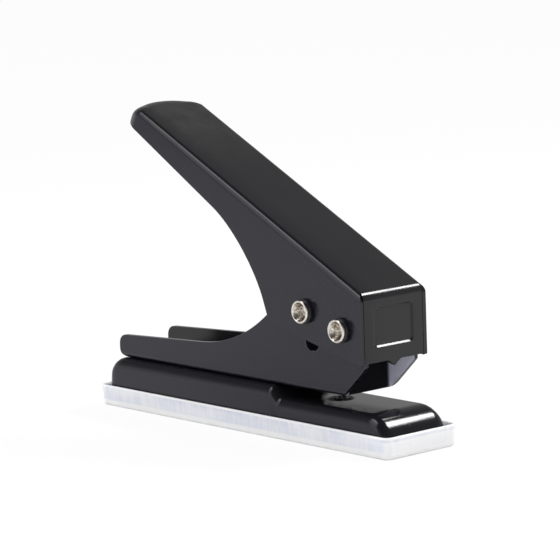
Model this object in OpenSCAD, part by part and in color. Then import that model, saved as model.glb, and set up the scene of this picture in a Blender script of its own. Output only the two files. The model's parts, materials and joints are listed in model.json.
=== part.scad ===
// Single hole punch for the desk, in folded sheet steel. A pressed base stands in a plastic chip
// tray and carries a folded frame. A lever handle turns on the frame and drives a sprung punch
// into a die in the base. +X runs to the front, where the paper goes in, and +Z is up. The origin
// is on the table, under the middle of the tray.

/* [Base] */
// Length of the pressed base at its foot
base_l = 117.5; // [110:0.5:130]
// Width of the pressed base at its foot
base_w = 24; // [23:0.5:28]
// Thickness of the base's sheet steel
base_sheet = 1; // [0.8:0.1:1.2]
// Height of the front deck, where the paper lies, above the base's foot
deck_h = 8.9; // [7.5:0.1:12]
// Distance of the punch's axis behind the base's front end
punch_setback = 29.65; // [26:0.25:35]
// Radius of the pressed edge along the sides of both decks
deck_r = 3; // [2:0.25:3.5]
// Radius of the base's front end, seen from the side
nose_r = 8.4; // [6:0.2:9]
// Radius of the base's rear end, seen from the side
tail_r = 6.5; // [3:0.25:9]
// Radius of the base's corners, seen from above
corner_r = 3; // [2:0.25:6]
// Inward lean of the base's sides, from the foot to the deck
base_lean = 0.5; // [0.1:0.05:0.8]
// Distance from the punch's axis back to the top of the step between the decks
step_back = 17.5; // [15:0.25:22]
// Length of the step between the decks
step_l = 5; // [4:0.25:7]

/* [Chip tray] */
// Height of the tray, from the table to its lip
tray_h = 6.05; // [5:0.05:7.5]
// Thickness of the tray's walls
tray_wall = 0.8; // [0.7:0.05:1.2]
// Thickness of the tray's floor
tray_floor = 0.9; // [0.7:0.05:1.3]
// Height of the ledge under the base's foot, above the tray's floor
ledge_h = 1; // [0.8:0.05:1.6]
// Width of the ledge, inwards from the tray's wall
ledge_w = 1.2; // [1:0.1:2]
// Gap between the base's foot and the tray's wall
tray_gap = 0.15; // [0.1:0.05:0.3]
// Further gap between the base's foot and the tray's wall, at each end
tray_end_gap = 0.8; // [0.3:0.1:1.2]
// Gap between the base's foot and the ledge
seat_gap = 0.1; // [0.05:0.05:0.2]
// Outward lean of the tray's walls
tray_lean = 4.3; // [2:0.1:6]
// Radius of the tray's corners, seen from above
tray_corner_r = 2.4; // [1.4:0.1:4]
// Radius of the tray's lower edge
tray_edge_r = 0.8; // [0.5:0.05:1]

/* [Frame] */
// Width across the frame's two cheeks
frame_w = 19.2; // [18:0.1:20]
// Thickness of the frame's sheet steel
frame_sheet = 1.2; // [1:0.1:1.4]
// Height of the slot for the paper, between the deck and the frame
throat_h = 3.3; // [2.5:0.1:4.5]
// Gap left between the frame's web and the deck that it is riveted to
web_gap = 0.02; // [0.01:0.01:0.05]
// Outer radius of the fold between the web and the cheeks
fold_r = 1.6; // [1.3:0.1:2]
// Distance of the rails' rear ends in front of the base's rear end
rail_inset = 4; // [2:0.25:10]
// Height of the rails at their rear ends
rail_h = 6.6; // [6:0.1:9]
// Rise of the rails' upper edges towards the front
rail_slope = 2.85; // [1:0.1:4]
// Radius of the rails' rear corners
rail_r = 2.8; // [2:0.1:3]
// Slope of the cheeks' rear edges, up to the pins
rise_slope = 36.7; // [30:0.1:40]
// Radius of the sweep from the rails up to the cheeks
sweep_r = 50; // [35:1:55]
// Distance of the cheeks' top rear corner behind the punch's axis
cheek_back = 7.4; // [6.5:0.1:9]
// Metal of the cheeks above the drive pin's axis
cheek_over = 5.04; // [4:0.1:5.5]
// Radius of the cheeks round the pivot pin
ear_r = 6.2; // [5.5:0.1:6.3]
// Height of the ears' front corner above the frame's underside
nose_up = 8.64; // [6:0.1:10]
// Distance of the web's front edge behind the ears' front edge
nose_back = 9.25; // [8:0.1:10]
// Height of the wall that is folded up from the web's front edge
front_wall_h = 11.5; // [9:0.25:13]
// Gap between the front wall and the cheeks
front_wall_gap = 0.15; // [0.1:0.05:0.3]

/* [Lever] */
// Distance of the pivot pin in front of the punch's axis
pivot_fwd = 14.15; // [13:0.05:17]
// Height of the pivot pin above the frame's underside
pivot_up = 18.56; // [17:0.1:21]
// Height of the drive pin above the pivot pin, with the handle up
drive_over = 3.7; // [3:0.05:4.5]
// Angle that the handle is pressed through
press_angle = 24; // [18:0.5:25]
// Diameter of both pins
pin_d = 4.6; // [4:0.1:5]
// Diameter of the pins' rolled heads
pin_head_d = 6.36; // [6:0.05:7]
// Thickness of the pins' rolled heads
pin_head_t = 1.1; // [0.7:0.05:1.3]
// Diameter of the cup in each pin's head
pin_cup_d = 4.9; // [4.4:0.05:5.2]
// Depth of the cup in each pin's head
pin_cup_h = 1.7; // [1:0.1:2.5]
// Diameter of the black ring behind each pin's head
ring_d = 6.7; // [6.4:0.05:7.2]
// Length of the black ring behind each pin's head
ring_t = 1.15; // [0.9:0.05:2]
// Diameter of the washers between the handle and the frame
washer_d = 8.6; // [8:0.1:9.5]
// Thickness of the washers between the handle and the frame
washer_t = 0.8; // [0.5:0.05:0.9]
// Outer diameter of the tube that keeps the frame's ears apart
spacer_d = 6.6; // [6.2:0.1:7.2]
// Spare length of the frame's slots below the drive pin, with the handle pressed
slot_spare = 3; // [1:0.1:4]
// Gap on each side of the drive pin in its slots
slot_gap = 0.13; // [0.1:0.01:0.2]

/* [Handle] */
// Width across the handle's two cheeks
handle_w = 24; // [23.4:0.1:24.6]
// Thickness of the handle's sheet steel
handle_sheet = 1.2; // [1:0.1:1.4]
// Distance of the handle's front face in front of the pivot pin
face_fwd = 7.4; // [7.2:0.05:9]
// Height of the front face's top edge above the pivot pin
face_up = 9.9; // [9:0.1:11]
// Slope of the handle's top, up to the rear
handle_slope = 26.1; // [24:0.1:30]
// Length of the handle's top, along its slope
handle_reach = 107; // [95:0.5:115]
// Radius of the handle's rear end, seen square to its top
tip_round_r = 20; // [15:0.5:30]
// Radius of the corners between the rear end and the sides
tip_corner_r = 5.5; // [3:0.25:8]
// Radius of the fold along the handle's top edges
top_fold_r = 1.8; // [1.3:0.1:2.2]
// Radius of the pressed edge round the rear end
tip_fold_r = 4.8; // [2:0.1:5]
// Depth of the handle at its rear end
tip_depth = 5.7; // [4.5:0.1:7]
// Radius of the handle's lower rear corner
tip_low_r = 1.4; // [1:0.1:2.5]
// Distance from the front face to the elbow, along the slope
elbow_reach = 44.2; // [42:0.2:48]
// Depth of the handle at the elbow
elbow_depth = 10.7; // [9.4:0.1:12]
// Radius of the elbow's sweep
elbow_r = 46; // [35:1:50]
// Distance of the handle's heel behind the punch's axis
heel_back = 15.4; // [14.5:0.1:17]
// Height of the heel above the front face's lower edge
heel_up = 8.5; // [7:0.1:9.5]
// Distance of the cheeks' lower front corner below the pivot pin
cheek_low = 9.15; // [8.6:0.05:9.5]
// Distance of the front face's lower edge below the pivot pin
face_low = 8.6; // [8:0.05:9]
// Width of the pointed tab on the front face's lower edge
tab_w = 4.6; // [3:0.1:6]
// Depth of the pointed tab
tab_h = 1.6; // [1:0.1:2]
// Width of the seams between the front face and the cheeks
seam_w = 0.15; // [0.1:0.01:0.25]
// Width of the framed panel on the front face
panel_w = 14.6; // [10:0.2:16]
// Height of the framed panel on the front face
panel_h = 11; // [8:0.1:11.5]
// Height of the panel's centre above the pivot pin
panel_up = 0.7; // [0.4:0.05:1]
// Radius of the panel's corners
panel_r = 1.4; // [0.8:0.1:2]
// Depth of the panel, which is pressed into the front face
panel_deep = 0.35; // [0.2:0.05:0.5]

/* [Punch and die] */
// Diameter of the punch, and of the hole that it makes
punch_d = 6; // [5:0.1:6.5]
// Height of the punch's edge above the frame's underside, with the handle up
punch_tip_up = 0.4; // [0.2:0.05:1]
// Depth of the hollow that is ground across the punch's end
punch_hollow = 0.8; // [0.4:0.1:1.2]
// Diameter of the punch's head
head_d = 11; // [10:0.25:12]
// Metal of the punch's head under its slot
head_under = 2.6; // [2.2:0.1:3.2]
// Metal of the punch's head over its slot
head_over = 2.2; // [1.6:0.1:2.4]
// Diameter of the pin that locks the punch in its head
lock_d = 1.5; // [1.2:0.1:1.6]
// Gap between the punch and the guide bush
guide_gap = 0.03; // [0.01:0.01:0.08]
// Wall of the guide bush round the punch
bush_wall = 0.9; // [0.8:0.05:1.1]
// Height of the guide bush above the web
bush_h = 3.6; // [3:0.1:5]
// Diameter of the guide bush's flange
flange_d = 11.4; // [11:0.2:13]
// Thickness of the guide bush's flange
flange_t = 1.2; // [0.9:0.1:1.6]
// Gap between the punch and the die
die_gap = 0.05; // [0.02:0.01:0.1]
// Diameter of the die's ring, as it shows in the deck
die_ring_d = 7.62; // [7:0.02:8.4]
// Height of the die's ring above the deck
die_proud = 0.12; // [0.05:0.01:0.2]
// Diameter of the die's flange under the deck
die_flange_d = 12; // [10.5:0.25:14]
// Thickness of the die's flange under the deck
die_flange_t = 2; // [1.5:0.1:2.5]
// Gap round parts that are pressed into their holes
press_gap = 0.01; // [0.005:0.005:0.02]

/* [Return spring] */
// Diameter of the spring's wire
wire_d = 0.9; // [0.7:0.05:1]
// Mean diameter of the spring
spring_d = 9.4; // [9.2:0.1:9.8]
// Number of turns of the spring
spring_turns = 7.5; // [5:0.5:8]
// Thickness of the washer under the spring
seat_t = 0.5; // [0.4:0.05:0.8]
// Gap between the spring and each seat
spring_gap = 0.05; // [0.02:0.01:0.1]

/* [Rivets] */
// Distance of the rear rivet in front of the base's rear end
rear_rivet_in = 15; // [12:0.5:25]
// Distance of the front rivet behind the step between the decks
front_rivet_back = 9; // [7:0.5:15]
// Diameter of the rivets' shanks
rivet_d = 3.5; // [3:0.1:4]
// Diameter of the rivets' heads
rivet_head_d = 6.4; // [5.5:0.1:7.5]
// Height of the rivets' heads
rivet_head_h = 1.1; // [0.8:0.1:1.4]
// Height of the rivets' closed ends
rivet_tail_h = 0.9; // [0.7:0.1:1.2]

/* [Hidden] */

// Overrun of every cut past the face that it opens
over = 1;
// Longest straight bit of a rounded outline
chord = 0.7;
// Least height left under the nose of the base
nose_foot = 0.5;
// Most of the base's wall that its pressed edge may take up
edge_share = 0.8;
// Radius of the small corners of folded sheet
snip_r = 0.5;
// Radius of the fold at the top of the front face
face_fold_r = 2.4;
// Gap between a washer or ring and the pin in it
ring_gap = 0.02;
// Running clearance round the pivot pin in the frame
pivot_gap = 0.05;
// Gap between the pivot spacer and each cheek
spacer_gap = 0.15;
// Play of the drive pin up and down in the punch's head
head_gap = 0.1;
// Clearance between the top of the punch rod and the slot in its head
rod_gap = 0.2;
// Width of the bevel on rings and heads
bevel = 0.25;
// Step that the slots' radius and length are rounded up to
slot_step = 0.01;
// Depth of the relief behind the die's cutting edge
relief_h = 1.2;
// Widening of the relief behind the die's cutting edge
relief_w = 0.3;
// Steps round each pressed corner of the base and the tray
corner_steps = 6;
// Steps along the rounded ends of the base
end_steps = 8;
// Steps along the step between the decks
slope_steps = 8;
// Sides of the spring's wire and rings in one turn of it
wire_sides = 6;
turn_rings = 8;
// Smoothness of round parts
$fn = 48;

black = "#1d1d20";
dark = "#0f0f11";
steel = "#c9c5bd";
plastic = [0.86, 0.89, 0.95, 0.6];

// Levels, from the table up
foot_z = tray_floor + ledge_h + seat_gap;
deck_z = foot_z + deck_h;
web_z = deck_z + throat_h;
rear_deck_z = web_z - web_gap;
web_top = web_z + frame_sheet;
pivot_z = web_z + pivot_up;
drive_z = pivot_z + drive_over;

// Places along the punch
base_front = base_l / 2;
base_rear = -base_l / 2;
punch_x = base_front - punch_setback;
pivot_x = punch_x + pivot_fwd;
face_x = pivot_x + face_fwd;
step_x = punch_x - step_back;
rail_x = base_rear + rail_inset;

// The drive pin's arc about the pivot pin
arm = sqrt(pivot_fwd * pivot_fwd + drive_over * drive_over);
arm_rest = atan2(drive_over, pivot_fwd);
arm_pressed = press_angle - arm_rest;
travel = arm * (sin(arm_rest) + sin(arm_pressed));
drift = arm - arm * cos(arm_rest);
slot_r = slot_step * ceil((pin_d / 2 + drift / 2 + slot_gap) / slot_step);
slot_x = punch_x - drift / 2;
slot_l = slot_step * ceil((travel + slot_spare + pin_d / 2 - slot_r) / slot_step);

// Height of the inner corner of the fold at the top of the front face
fold_z = pivot_z + face_up - face_fold_r - handle_sheet;

// Half widths
frame_in = frame_w / 2 - frame_sheet;
handle_in = handle_w / 2 - handle_sheet;
tray_foot_half = tray_gap + tray_wall;

// The punch and its seats
guide_r = punch_d / 2 + guide_gap;
bush_top = web_top + bush_h;
flange_top = web_top + flange_t;
head_slot_h = pin_d + 2 * head_gap;
head_z = drive_z - head_slot_h / 2 - head_under;
head_top = drive_z + head_slot_h / 2 + head_over;
rod_top = drive_z - head_slot_h / 2 - rod_gap;
lock_z = (head_z + rod_top) / 2;
seat_top = flange_top + seat_t;

echo("punch axis x", punch_x, "pivot x z", pivot_x, pivot_z, "drive pin z", drive_z);
echo("travel", travel, "drift", drift, "metres a radian", travel / press_angle * 180 / PI / 1000);
echo("levels: foot, deck, web, web top", foot_z, deck_z, web_z, web_top);
echo("punch head", head_z, head_top, "flange top", flange_top, "spring seat", seat_top);
echo("pin ends y", handle_w / 2 + ring_t + pin_head_t, "tray half width", lip_half());

// Half the tray's width at its lip
function lip_half() = base_w / 2 + tray_foot_half + tan(tray_lean) * (tray_h - foot_z);

// Where a line from p at angle pa meets a line from q at angle qa
function meet(p, pa, q, qa) =
    let (d = [cos(pa), sin(pa)], e = [cos(qa), sin(qa)], w = q - p)
    p + d * (w[0] * e[1] - w[1] * e[0]) / (d[0] * e[1] - d[1] * e[0]);

// Points round one corner of an outline: b is the corner, a and c are its neighbours
function round_corner(a, b, c, r) =
    let (u = (a - b) / norm(a - b), v = (c - b) / norm(c - b),
         half = acos(max(-1, min(1, u * v))) / 2,
         run = r / tan(half),
         p = b + u * run, q = b + v * run,
         o = b + (u + v) / norm(u + v) * r / sin(half),
         from = atan2(p[1] - o[1], p[0] - o[0]),
         raw = atan2(q[1] - o[1], q[0] - o[0]) - from,
         turn = raw > 180 ? raw - 360 : raw < -180 ? raw + 360 : raw,
         n = max(3, ceil(abs(turn) * PI / 180 * r / chord)))
    [for (k = [0 : n]) o + r * [cos(from + turn * k / n), sin(from + turn * k / n)]];

// An outline whose points are [x, y, radius]
function rounded(pts) =
    let (n = len(pts))
    [for (i = [0 : n - 1])
        let (a = pts[(i + n - 1) % n], b = pts[i], c = pts[(i + 1) % n])
        each (b[2] == 0 ? [[b[0], b[1]]]
              : round_corner([a[0], a[1]], [b[0], b[1]], [c[0], c[1]], b[2]))];

// A solid through closed rings of points, all with the same count
module ring_stack(rings) {
    m = len(rings[0]);
    n = len(rings);
    sides = [for (i = [0 : n - 2]) for (j = [0 : m - 1])
        let (a = i * m + j, b = i * m + (j + 1) % m, c = b + m, d = a + m)
        each [[a, d, c], [a, c, b]]];
    polyhedron(
        points = [for (ring = rings) each ring],
        faces = concat([[for (j = [0 : m - 1]) j]],
                       [[for (j = [m - 1 : -1 : 0]) (n - 1) * m + j]], sides));
}

// Draws an outline of [x, z] points as a plate of full width w across the punch
module plate(pts, w) {
    rotate([90, 0, 0])
        linear_extrude(w, center = true)
            polygon(pts);
}

// A cylinder across the punch, through x and z
module cross_pin(x, z, r, w) {
    translate([x, 0, z])
        rotate([90, 0, 0])
            cylinder(r = r, h = w, center = true);
}

// A ring on a pin, with its inner face at y on the side that side names: -1 near, 1 far
module pin_ring(x, z, side, y, r_out, r_in, t, edge) {
    translate([x, side * y, z])
        rotate([-side * 90, 0, 0])
            rotate_extrude()
                polygon([[r_in, 0], [r_out, 0], [r_out, t - edge], [r_out - edge, t],
                         [r_in, t]]);
}

// Height of the base's top at x, for a skin that lies in by t
function base_top(x, t) =
    let (front_r = min(nose_r, deck_h - nose_foot) - t,
         rear_r = tail_r - t,
         front = max(0, x - (base_front - t - front_r)),
         rear = max(0, base_rear + t + rear_r - x),
         along = max(0, min(1, (x - step_x) / step_l)),
         level = deck_z - t + (rear_deck_z - deck_z) * (1 + cos(180 * along)) / 2)
    level - (front_r - sqrt(max(0, front_r * front_r - front * front)))
          - (rear_r - sqrt(max(0, rear_r * rear_r - rear * rear)));

// Half width of the base at x, for a skin that lies in by t
function base_half(x, t) =
    let (r = corner_r - t,
         d = max(0, r - min(x - base_rear - t, base_front - t - x)))
    base_w / 2 - t - (r - sqrt(max(0, r * r - d * d)));

// Ring round the base at x: foot, side, pressed edge, deck, and back
function base_ring(x, t, low) =
    let (z = base_top(x, t), w = base_half(x, t), r = min(deck_r - t, edge_share * (z - low)),
         side = [for (k = [0 : corner_steps])
             let (a = 90 * k / corner_steps)
             [w - base_lean - r + r * cos(a), z - r + r * sin(a)]])
    concat([[x, -w, low], [x, w, low]],
           [for (p = side) [x, p[0], p[1]]],
           [for (k = [corner_steps : -1 : 0]) [x, -side[k][0], side[k][1]]]);

// Places of the base's rings from rear to front, for a skin that lies in by t
function base_places(t) =
    let (rear_r = max(tail_r, corner_r) - t,
         front_r = max(min(nose_r, deck_h - nose_foot), corner_r) - t)
    concat([for (k = [0 : end_steps])
                base_rear + t + rear_r * (1 - cos(90 * k / end_steps))],
           [for (k = [0 : slope_steps]) step_x + step_l * k / slope_steps],
           [for (k = [end_steps : -1 : 0])
                base_front - t - front_r * (1 - cos(90 * k / end_steps))]);

// A pan with the base's form, that lies in by t and starts at low
module base_form(t, low) {
    ring_stack([for (x = base_places(t)) base_ring(x, t, low)]);
}

// A rivet's hole at x, through the base or the frame
module rivet_hole(x, r) {
    translate([x, 0, 0])
        cylinder(r = r, h = web_top + over);
}

rear_rivet_x = base_rear + rear_rivet_in;
front_rivet_x = step_x - front_rivet_back;

module base() {
    color(black)
        difference() {
            base_form(0, foot_z);
            base_form(base_sheet, foot_z - over);
            translate([punch_x, 0, foot_z])
                cylinder(d = die_ring_d + 2 * press_gap, h = deck_h + over);
            rivet_hole(rear_rivet_x, rivet_d / 2 + press_gap);
            rivet_hole(front_rivet_x, rivet_d / 2 + press_gap);
        }
}

// Ring of a rounded rectangle at height z, grown by g past the base's foot
function tray_ring(g, z) =
    let (x = base_l / 2 + tray_end_gap + g, y = base_w / 2 + g,
         r = max(snip_r, tray_corner_r + g - tray_foot_half),
         mid = [[x - r, y - r], [r - x, y - r], [r - x, r - y], [x - r, r - y]])
    [for (q = [0 : 3]) for (k = [0 : corner_steps])
        let (a = 90 * (q + k / corner_steps))
        [mid[q][0] + r * cos(a), mid[q][1] + r * sin(a), z]];

// Growth of the tray's inner wall past the base's foot, at height z
function tray_grow(z) = tray_gap + tan(tray_lean) * (z - foot_z);

module chip_tray() {
    ledge_z = tray_floor + ledge_h;
    edge_steps = 3;
    color(plastic)
        difference() {
            ring_stack(concat(
                [for (k = [edge_steps : -1 : 0])
                    let (a = 90 * k / edge_steps, z = tray_edge_r * (1 - sin(a)))
                    tray_ring(tray_grow(z) + tray_wall - tray_edge_r * (1 - cos(a)), z)],
                [tray_ring(tray_grow(tray_h) + tray_wall, tray_h)]));
            ring_stack([tray_ring(tray_grow(ledge_z), ledge_z),
                        tray_ring(tray_grow(tray_h + over), tray_h + over)]);
            ring_stack([tray_ring(tray_grow(tray_floor) - ledge_w, tray_floor),
                        tray_ring(tray_grow(ledge_z + over) - ledge_w, ledge_z + over)]);
        }
}

// Outline of the frame's cheek in X and Z
function cheek_outline() =
    let (top = drive_z + cheek_over,
         back = [punch_x - cheek_back, top],
         rail = [rail_x, web_z + rail_h],
         sweep = meet(rail, rail_slope, back, rise_slope),
         ear_x = pivot_x + ear_r,
         ear_top = pivot_z + ear_r)
    rounded([[rail_x, web_z, rail_r],
             [ear_x - nose_back, web_z, snip_r],
             [ear_x, web_z + nose_up, snip_r],
             [ear_x, ear_top, ear_r * 0.999],
             [pivot_x - ear_r, ear_top, ear_r / 2],
             [punch_x + slot_r, top, ear_r / 4],
             [back[0], back[1], ear_r / 2],
             [sweep[0], sweep[1], sweep_r],
             [rail_x, web_z + rail_h, rail_r]]);

// The drive pin's slot in both cheeks
module frame_slot() {
    cross_pin(slot_x, drive_z, slot_r, frame_w + 2 * over);
    cross_pin(slot_x, drive_z - slot_l, slot_r, frame_w + 2 * over);
    translate([slot_x, 0, drive_z - slot_l / 2])
        cube([2 * slot_r, frame_w + 2 * over, slot_l], center = true);
}

module frame() {
    ear_x = pivot_x + ear_r;
    wall_x = ear_x - nose_back;
    web_rear = rail_x + rail_r;
    color(black)
        difference() {
            intersection() {
                plate(cheek_outline(), frame_w);
                translate([rail_x - over, 0, web_z])
                    rotate([90, 0, 90])
                        linear_extrude(ear_x - rail_x + 2 * over)
                            polygon(rounded([[-frame_w / 2, 0, fold_r], [frame_w / 2, 0, fold_r],
                                             [frame_w / 2, pivot_z, 0],
                                             [-frame_w / 2, pivot_z, 0]]));
            }
            translate([rail_x - over, -frame_in, web_top])
                cube([ear_x - rail_x + 2 * over, 2 * frame_in, pivot_z + ear_r]);
            translate([rail_x - over, -frame_in, web_z - over])
                cube([web_rear - rail_x + over, 2 * frame_in, frame_sheet + 2 * over]);
            translate([wall_x, -frame_in, web_z - over])
                cube([nose_back + over, 2 * frame_in, frame_sheet + 2 * over]);
            frame_slot();
            cross_pin(pivot_x, pivot_z, pin_d / 2 + pivot_gap, frame_w + 2 * over);
            translate([punch_x, 0, web_z - over])
                cylinder(r = guide_r + bush_wall + press_gap, h = frame_sheet + 2 * over);
            rivet_hole(rear_rivet_x, rivet_d / 2 + press_gap);
            rivet_hole(front_rivet_x, rivet_d / 2 + press_gap);
        }
    color(black)
        translate([wall_x - frame_sheet, -frame_in + front_wall_gap, web_top - snip_r])
            cube([frame_sheet, 2 * (frame_in - front_wall_gap), front_wall_h - frame_sheet + snip_r]);
}

// A rivet through the web and the rear deck, with its head in the frame
module rivet(x) {
    tail_top = rear_deck_z - base_sheet - web_gap;
    tail_z = tail_top - rivet_tail_h;
    head_r = rivet_head_d / 2;
    tail_r_out = (rivet_d + rivet_head_d) / 4;
    color(steel)
        translate([x, 0, 0])
            rotate_extrude()
                polygon(concat(
                    [[0, tail_z], [tail_r_out - bevel, tail_z], [tail_r_out, tail_z + bevel],
                     [tail_r_out, tail_top], [rivet_d / 2, tail_top],
                     [rivet_d / 2, web_top + web_gap], [head_r, web_top + web_gap]],
                    [for (k = [1 : corner_steps])
                        let (a = 90 * k / corner_steps)
                        [head_r * cos(a), web_top + web_gap + rivet_head_h * sin(a)]]));
}

module rear_rivet() {
    rivet(rear_rivet_x);
}

module front_rivet() {
    rivet(front_rivet_x);
}

module die_ring() {
    under = deck_z - base_sheet - web_gap;
    bore_r = punch_d / 2 + die_gap;
    color(steel)
        translate([punch_x, 0, 0])
            rotate_extrude()
                polygon([[bore_r, deck_z + die_proud], [bore_r, under - relief_h + base_sheet],
                         [bore_r + relief_w, under - relief_h],
                         [bore_r + relief_w, under - die_flange_t],
                         [die_flange_d / 2, under - die_flange_t], [die_flange_d / 2, under],
                         [die_ring_d / 2, under], [die_ring_d / 2, deck_z + die_proud]]);
}

module guide_bush() {
    neck_r = guide_r + bush_wall;
    color(steel)
        translate([punch_x, 0, 0])
            rotate_extrude()
                polygon([[guide_r, web_z], [neck_r, web_z], [neck_r, web_top + web_gap],
                         [flange_d / 2, web_top + web_gap], [flange_d / 2, flange_top - bevel],
                         [flange_d / 2 - bevel, flange_top], [neck_r, flange_top],
                         [neck_r, bush_top - bevel], [neck_r - bevel, bush_top],
                         [guide_r, bush_top]]);
}

module spring_seat_washer() {
    color(steel)
        translate([punch_x, 0, flange_top + web_gap])
            difference() {
                cylinder(d = flange_d, h = seat_t - web_gap);
                translate([0, 0, -over])
                    cylinder(r = guide_r + bush_wall + ring_gap, h = seat_t + 2 * over);
            }
}

// Centre line of the spring: a helix with a straight end of one wire diameter at each end
spring_low = seat_top + spring_gap + wire_d / 2;
spring_high = head_z - spring_gap - wire_d / 2;
spring_r = spring_d / 2;
spring_count = spring_turns * turn_rings;
helix = [for (k = [0 : spring_count])
    let (a = 360 * k / turn_rings)
    [spring_r * cos(a), spring_r * sin(a),
     spring_low + (spring_high - spring_low) * k / spring_count]];
last_a = 360 * spring_turns;
wire_path = concat([helix[0] - [0, wire_d, 0]], helix,
                   [helix[spring_count] + wire_d * [-sin(last_a), cos(last_a), 0]]);

// Ring of the wire at point k of its path, square to the path
function wire_ring(k) =
    let (n = len(wire_path),
         ahead = wire_path[min(n - 1, k + 1)] - wire_path[max(0, k - 1)],
         d = ahead / norm(ahead),
         side = cross([0, 0, 1], d) / norm(cross([0, 0, 1], d)),
         up = cross(d, side))
    [for (j = [0 : wire_sides - 1])
        let (a = 360 * j / wire_sides)
        wire_path[k] + wire_d / 2 * (side * cos(a) + up * sin(a))];

half_turn = turn_rings / 2;
spring_self_gap = min([for (i = [0 : spring_count - half_turn])
    for (j = [i + half_turn : spring_count]) norm(helix[i] - helix[j])]) - wire_d;
echo("least gap of the return spring to itself", spring_self_gap);

module return_spring() {
    color(steel)
        translate([punch_x, 0, 0])
            ring_stack([for (k = [0 : len(wire_path) - 1]) wire_ring(k)]);
}

module punch() {
    tip = web_z + punch_tip_up;
    hollow_r = (punch_d * punch_d / 4 + punch_hollow * punch_hollow) / (2 * punch_hollow);
    color(steel)
        difference() {
            translate([punch_x, 0, tip])
                cylinder(d = punch_d, h = rod_top - tip);
            cross_pin(punch_x, tip + punch_hollow - hollow_r, hollow_r, punch_d + 2 * over);
            cross_pin(punch_x, lock_z, lock_d / 2 + press_gap, punch_d + 2 * over);
        }
}

module punch_head() {
    slot_l = pin_d + drift + 2 * slot_gap;
    color(steel)
        difference() {
            translate([punch_x, 0, head_z])
                cylinder(d = head_d, h = head_top - head_z);
            translate([punch_x, 0, head_z - over])
                cylinder(r = punch_d / 2 + press_gap, h = rod_top + rod_gap - head_z + over);
            cross_pin(punch_x, drive_z, head_slot_h / 2, head_d + 2 * over);
            cross_pin(punch_x - drift - slot_gap, drive_z, head_slot_h / 2, head_d + 2 * over);
            translate([punch_x - (drift + slot_gap) / 2, 0, drive_z])
                cube([drift + slot_gap, head_d + 2 * over, head_slot_h], center = true);
            cross_pin(punch_x, lock_z, lock_d / 2 + press_gap, head_d + 2 * over);
        }
}

module punch_lock_pin() {
    color(steel)
        cross_pin(punch_x, lock_z, lock_d / 2, head_d - 2 * bevel);
}

// A point of the handle's side, s along its top from the front face and d deep, square to it
function on_slope(s, d) =
    [face_x - s * cos(handle_slope) - d * sin(handle_slope),
     pivot_z + face_up + s * sin(handle_slope) - d * cos(handle_slope)];

// Places its children at the top of the front face, with X along the slope to the front
module slope_frame() {
    translate([face_x, 0, pivot_z + face_up])
        rotate([0, handle_slope, 0])
            children();
}

// Outline of the handle's cheek in X and Z
function handle_outline() =
    let (tip = on_slope(handle_reach, 0),
         tip_low = on_slope(handle_reach, tip_depth),
         elbow = on_slope(elbow_reach, elbow_depth),
         low = pivot_z - cheek_low)
    rounded([[face_x, low, snip_r],
             [face_x, pivot_z + face_up, face_fold_r],
             [tip[0], tip[1], 0],
             [tip_low[0], tip_low[1], tip_low_r],
             [elbow[0], elbow[1], elbow_r],
             [punch_x - heel_back, low + heel_up, snip_r * 2]]);

// The handle's form seen square to its top, for a skin that lies in by t
module handle_form(t) {
    half = handle_w / 2 - t;
    end_r = tip_round_r - t;
    end_x = -handle_reach + tip_round_r;
    fold = top_fold_r - t;
    edge = max(tip_fold_r - t, fold);
    drop = handle_reach;
    // where the rear arc meets the sides
    side_x = end_x - sqrt(end_r * end_r - half * half);
    front = handle_reach;
    slope_frame() {
        intersection() {
            // plan of the top, with the rear arc
            translate([0, 0, -drop - t])
                linear_extrude(drop)
                    polygon(plan_outline(half, end_r, end_x, side_x, front, tip_corner_r - t));
            // section across the handle, with its folded top edges
            translate([-handle_reach - over, 0, -t])
                rotate([90, 0, 90])
                    linear_extrude(handle_reach + over + front)
                        polygon(rounded([[-half, -drop, 0], [half, -drop, 0],
                                         [half, 0, max(fold, snip_r)],
                                         [-half, 0, max(fold, snip_r)]]));
            // pressed edge round the rear end
            union() {
                translate([end_x, 0, -drop - t])
                    rotate_extrude($fn = 96)
                        polygon(concat([[0, 0], [end_r, 0]],
                            [for (k = [0 : corner_steps])
                                let (a = 90 * k / corner_steps)
                                [end_r - edge + edge * cos(a), drop - edge + edge * sin(a)]],
                            [[0, drop]]));
                translate([side_x + edge, -half - over, -drop - t])
                    cube([front - side_x - edge, 2 * (half + over), drop]);
            }
        }
    }
}

// Plan of the handle: straight sides, and an arc of radius r about x at the rear
function plan_outline(half, r, x, side_x, front, corner) =
    let (steps = 12,
         inner = r - corner,
         sweep = asin((half - corner) / inner),
         cx = x - inner * cos(sweep), cy = half - corner,
         near = [for (k = [0 : steps])
             let (a = 90 + (90 - sweep) * k / steps)
             [cx + corner * cos(a), cy + corner * sin(a)]],
         end = [for (k = [1 : 2 * steps - 1])
             let (a = 180 - sweep + 2 * sweep * k / (2 * steps))
             [x + r * cos(a), r * sin(a)]])
    concat([[front, -half], [front, half]], near, end,
           [for (k = [steps : -1 : 0]) [near[k][0], -near[k][1]]]);

// The front face, folded down from the top, with a pointed tab on its lower edge
module front_face() {
    y = handle_in - seam_w;
    low = pivot_z - face_low;
    high = fold_z + face_fold_r / 2;
    difference() {
        translate([face_x - handle_sheet, 0, 0])
            rotate([90, 0, 90])
                linear_extrude(handle_sheet)
                    polygon([[-y, low], [-tab_w / 2, low], [0, low - tab_h], [tab_w / 2, low],
                             [y, low], [y, high], [-y, high]]);
        panel_recess();
    }
}

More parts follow.
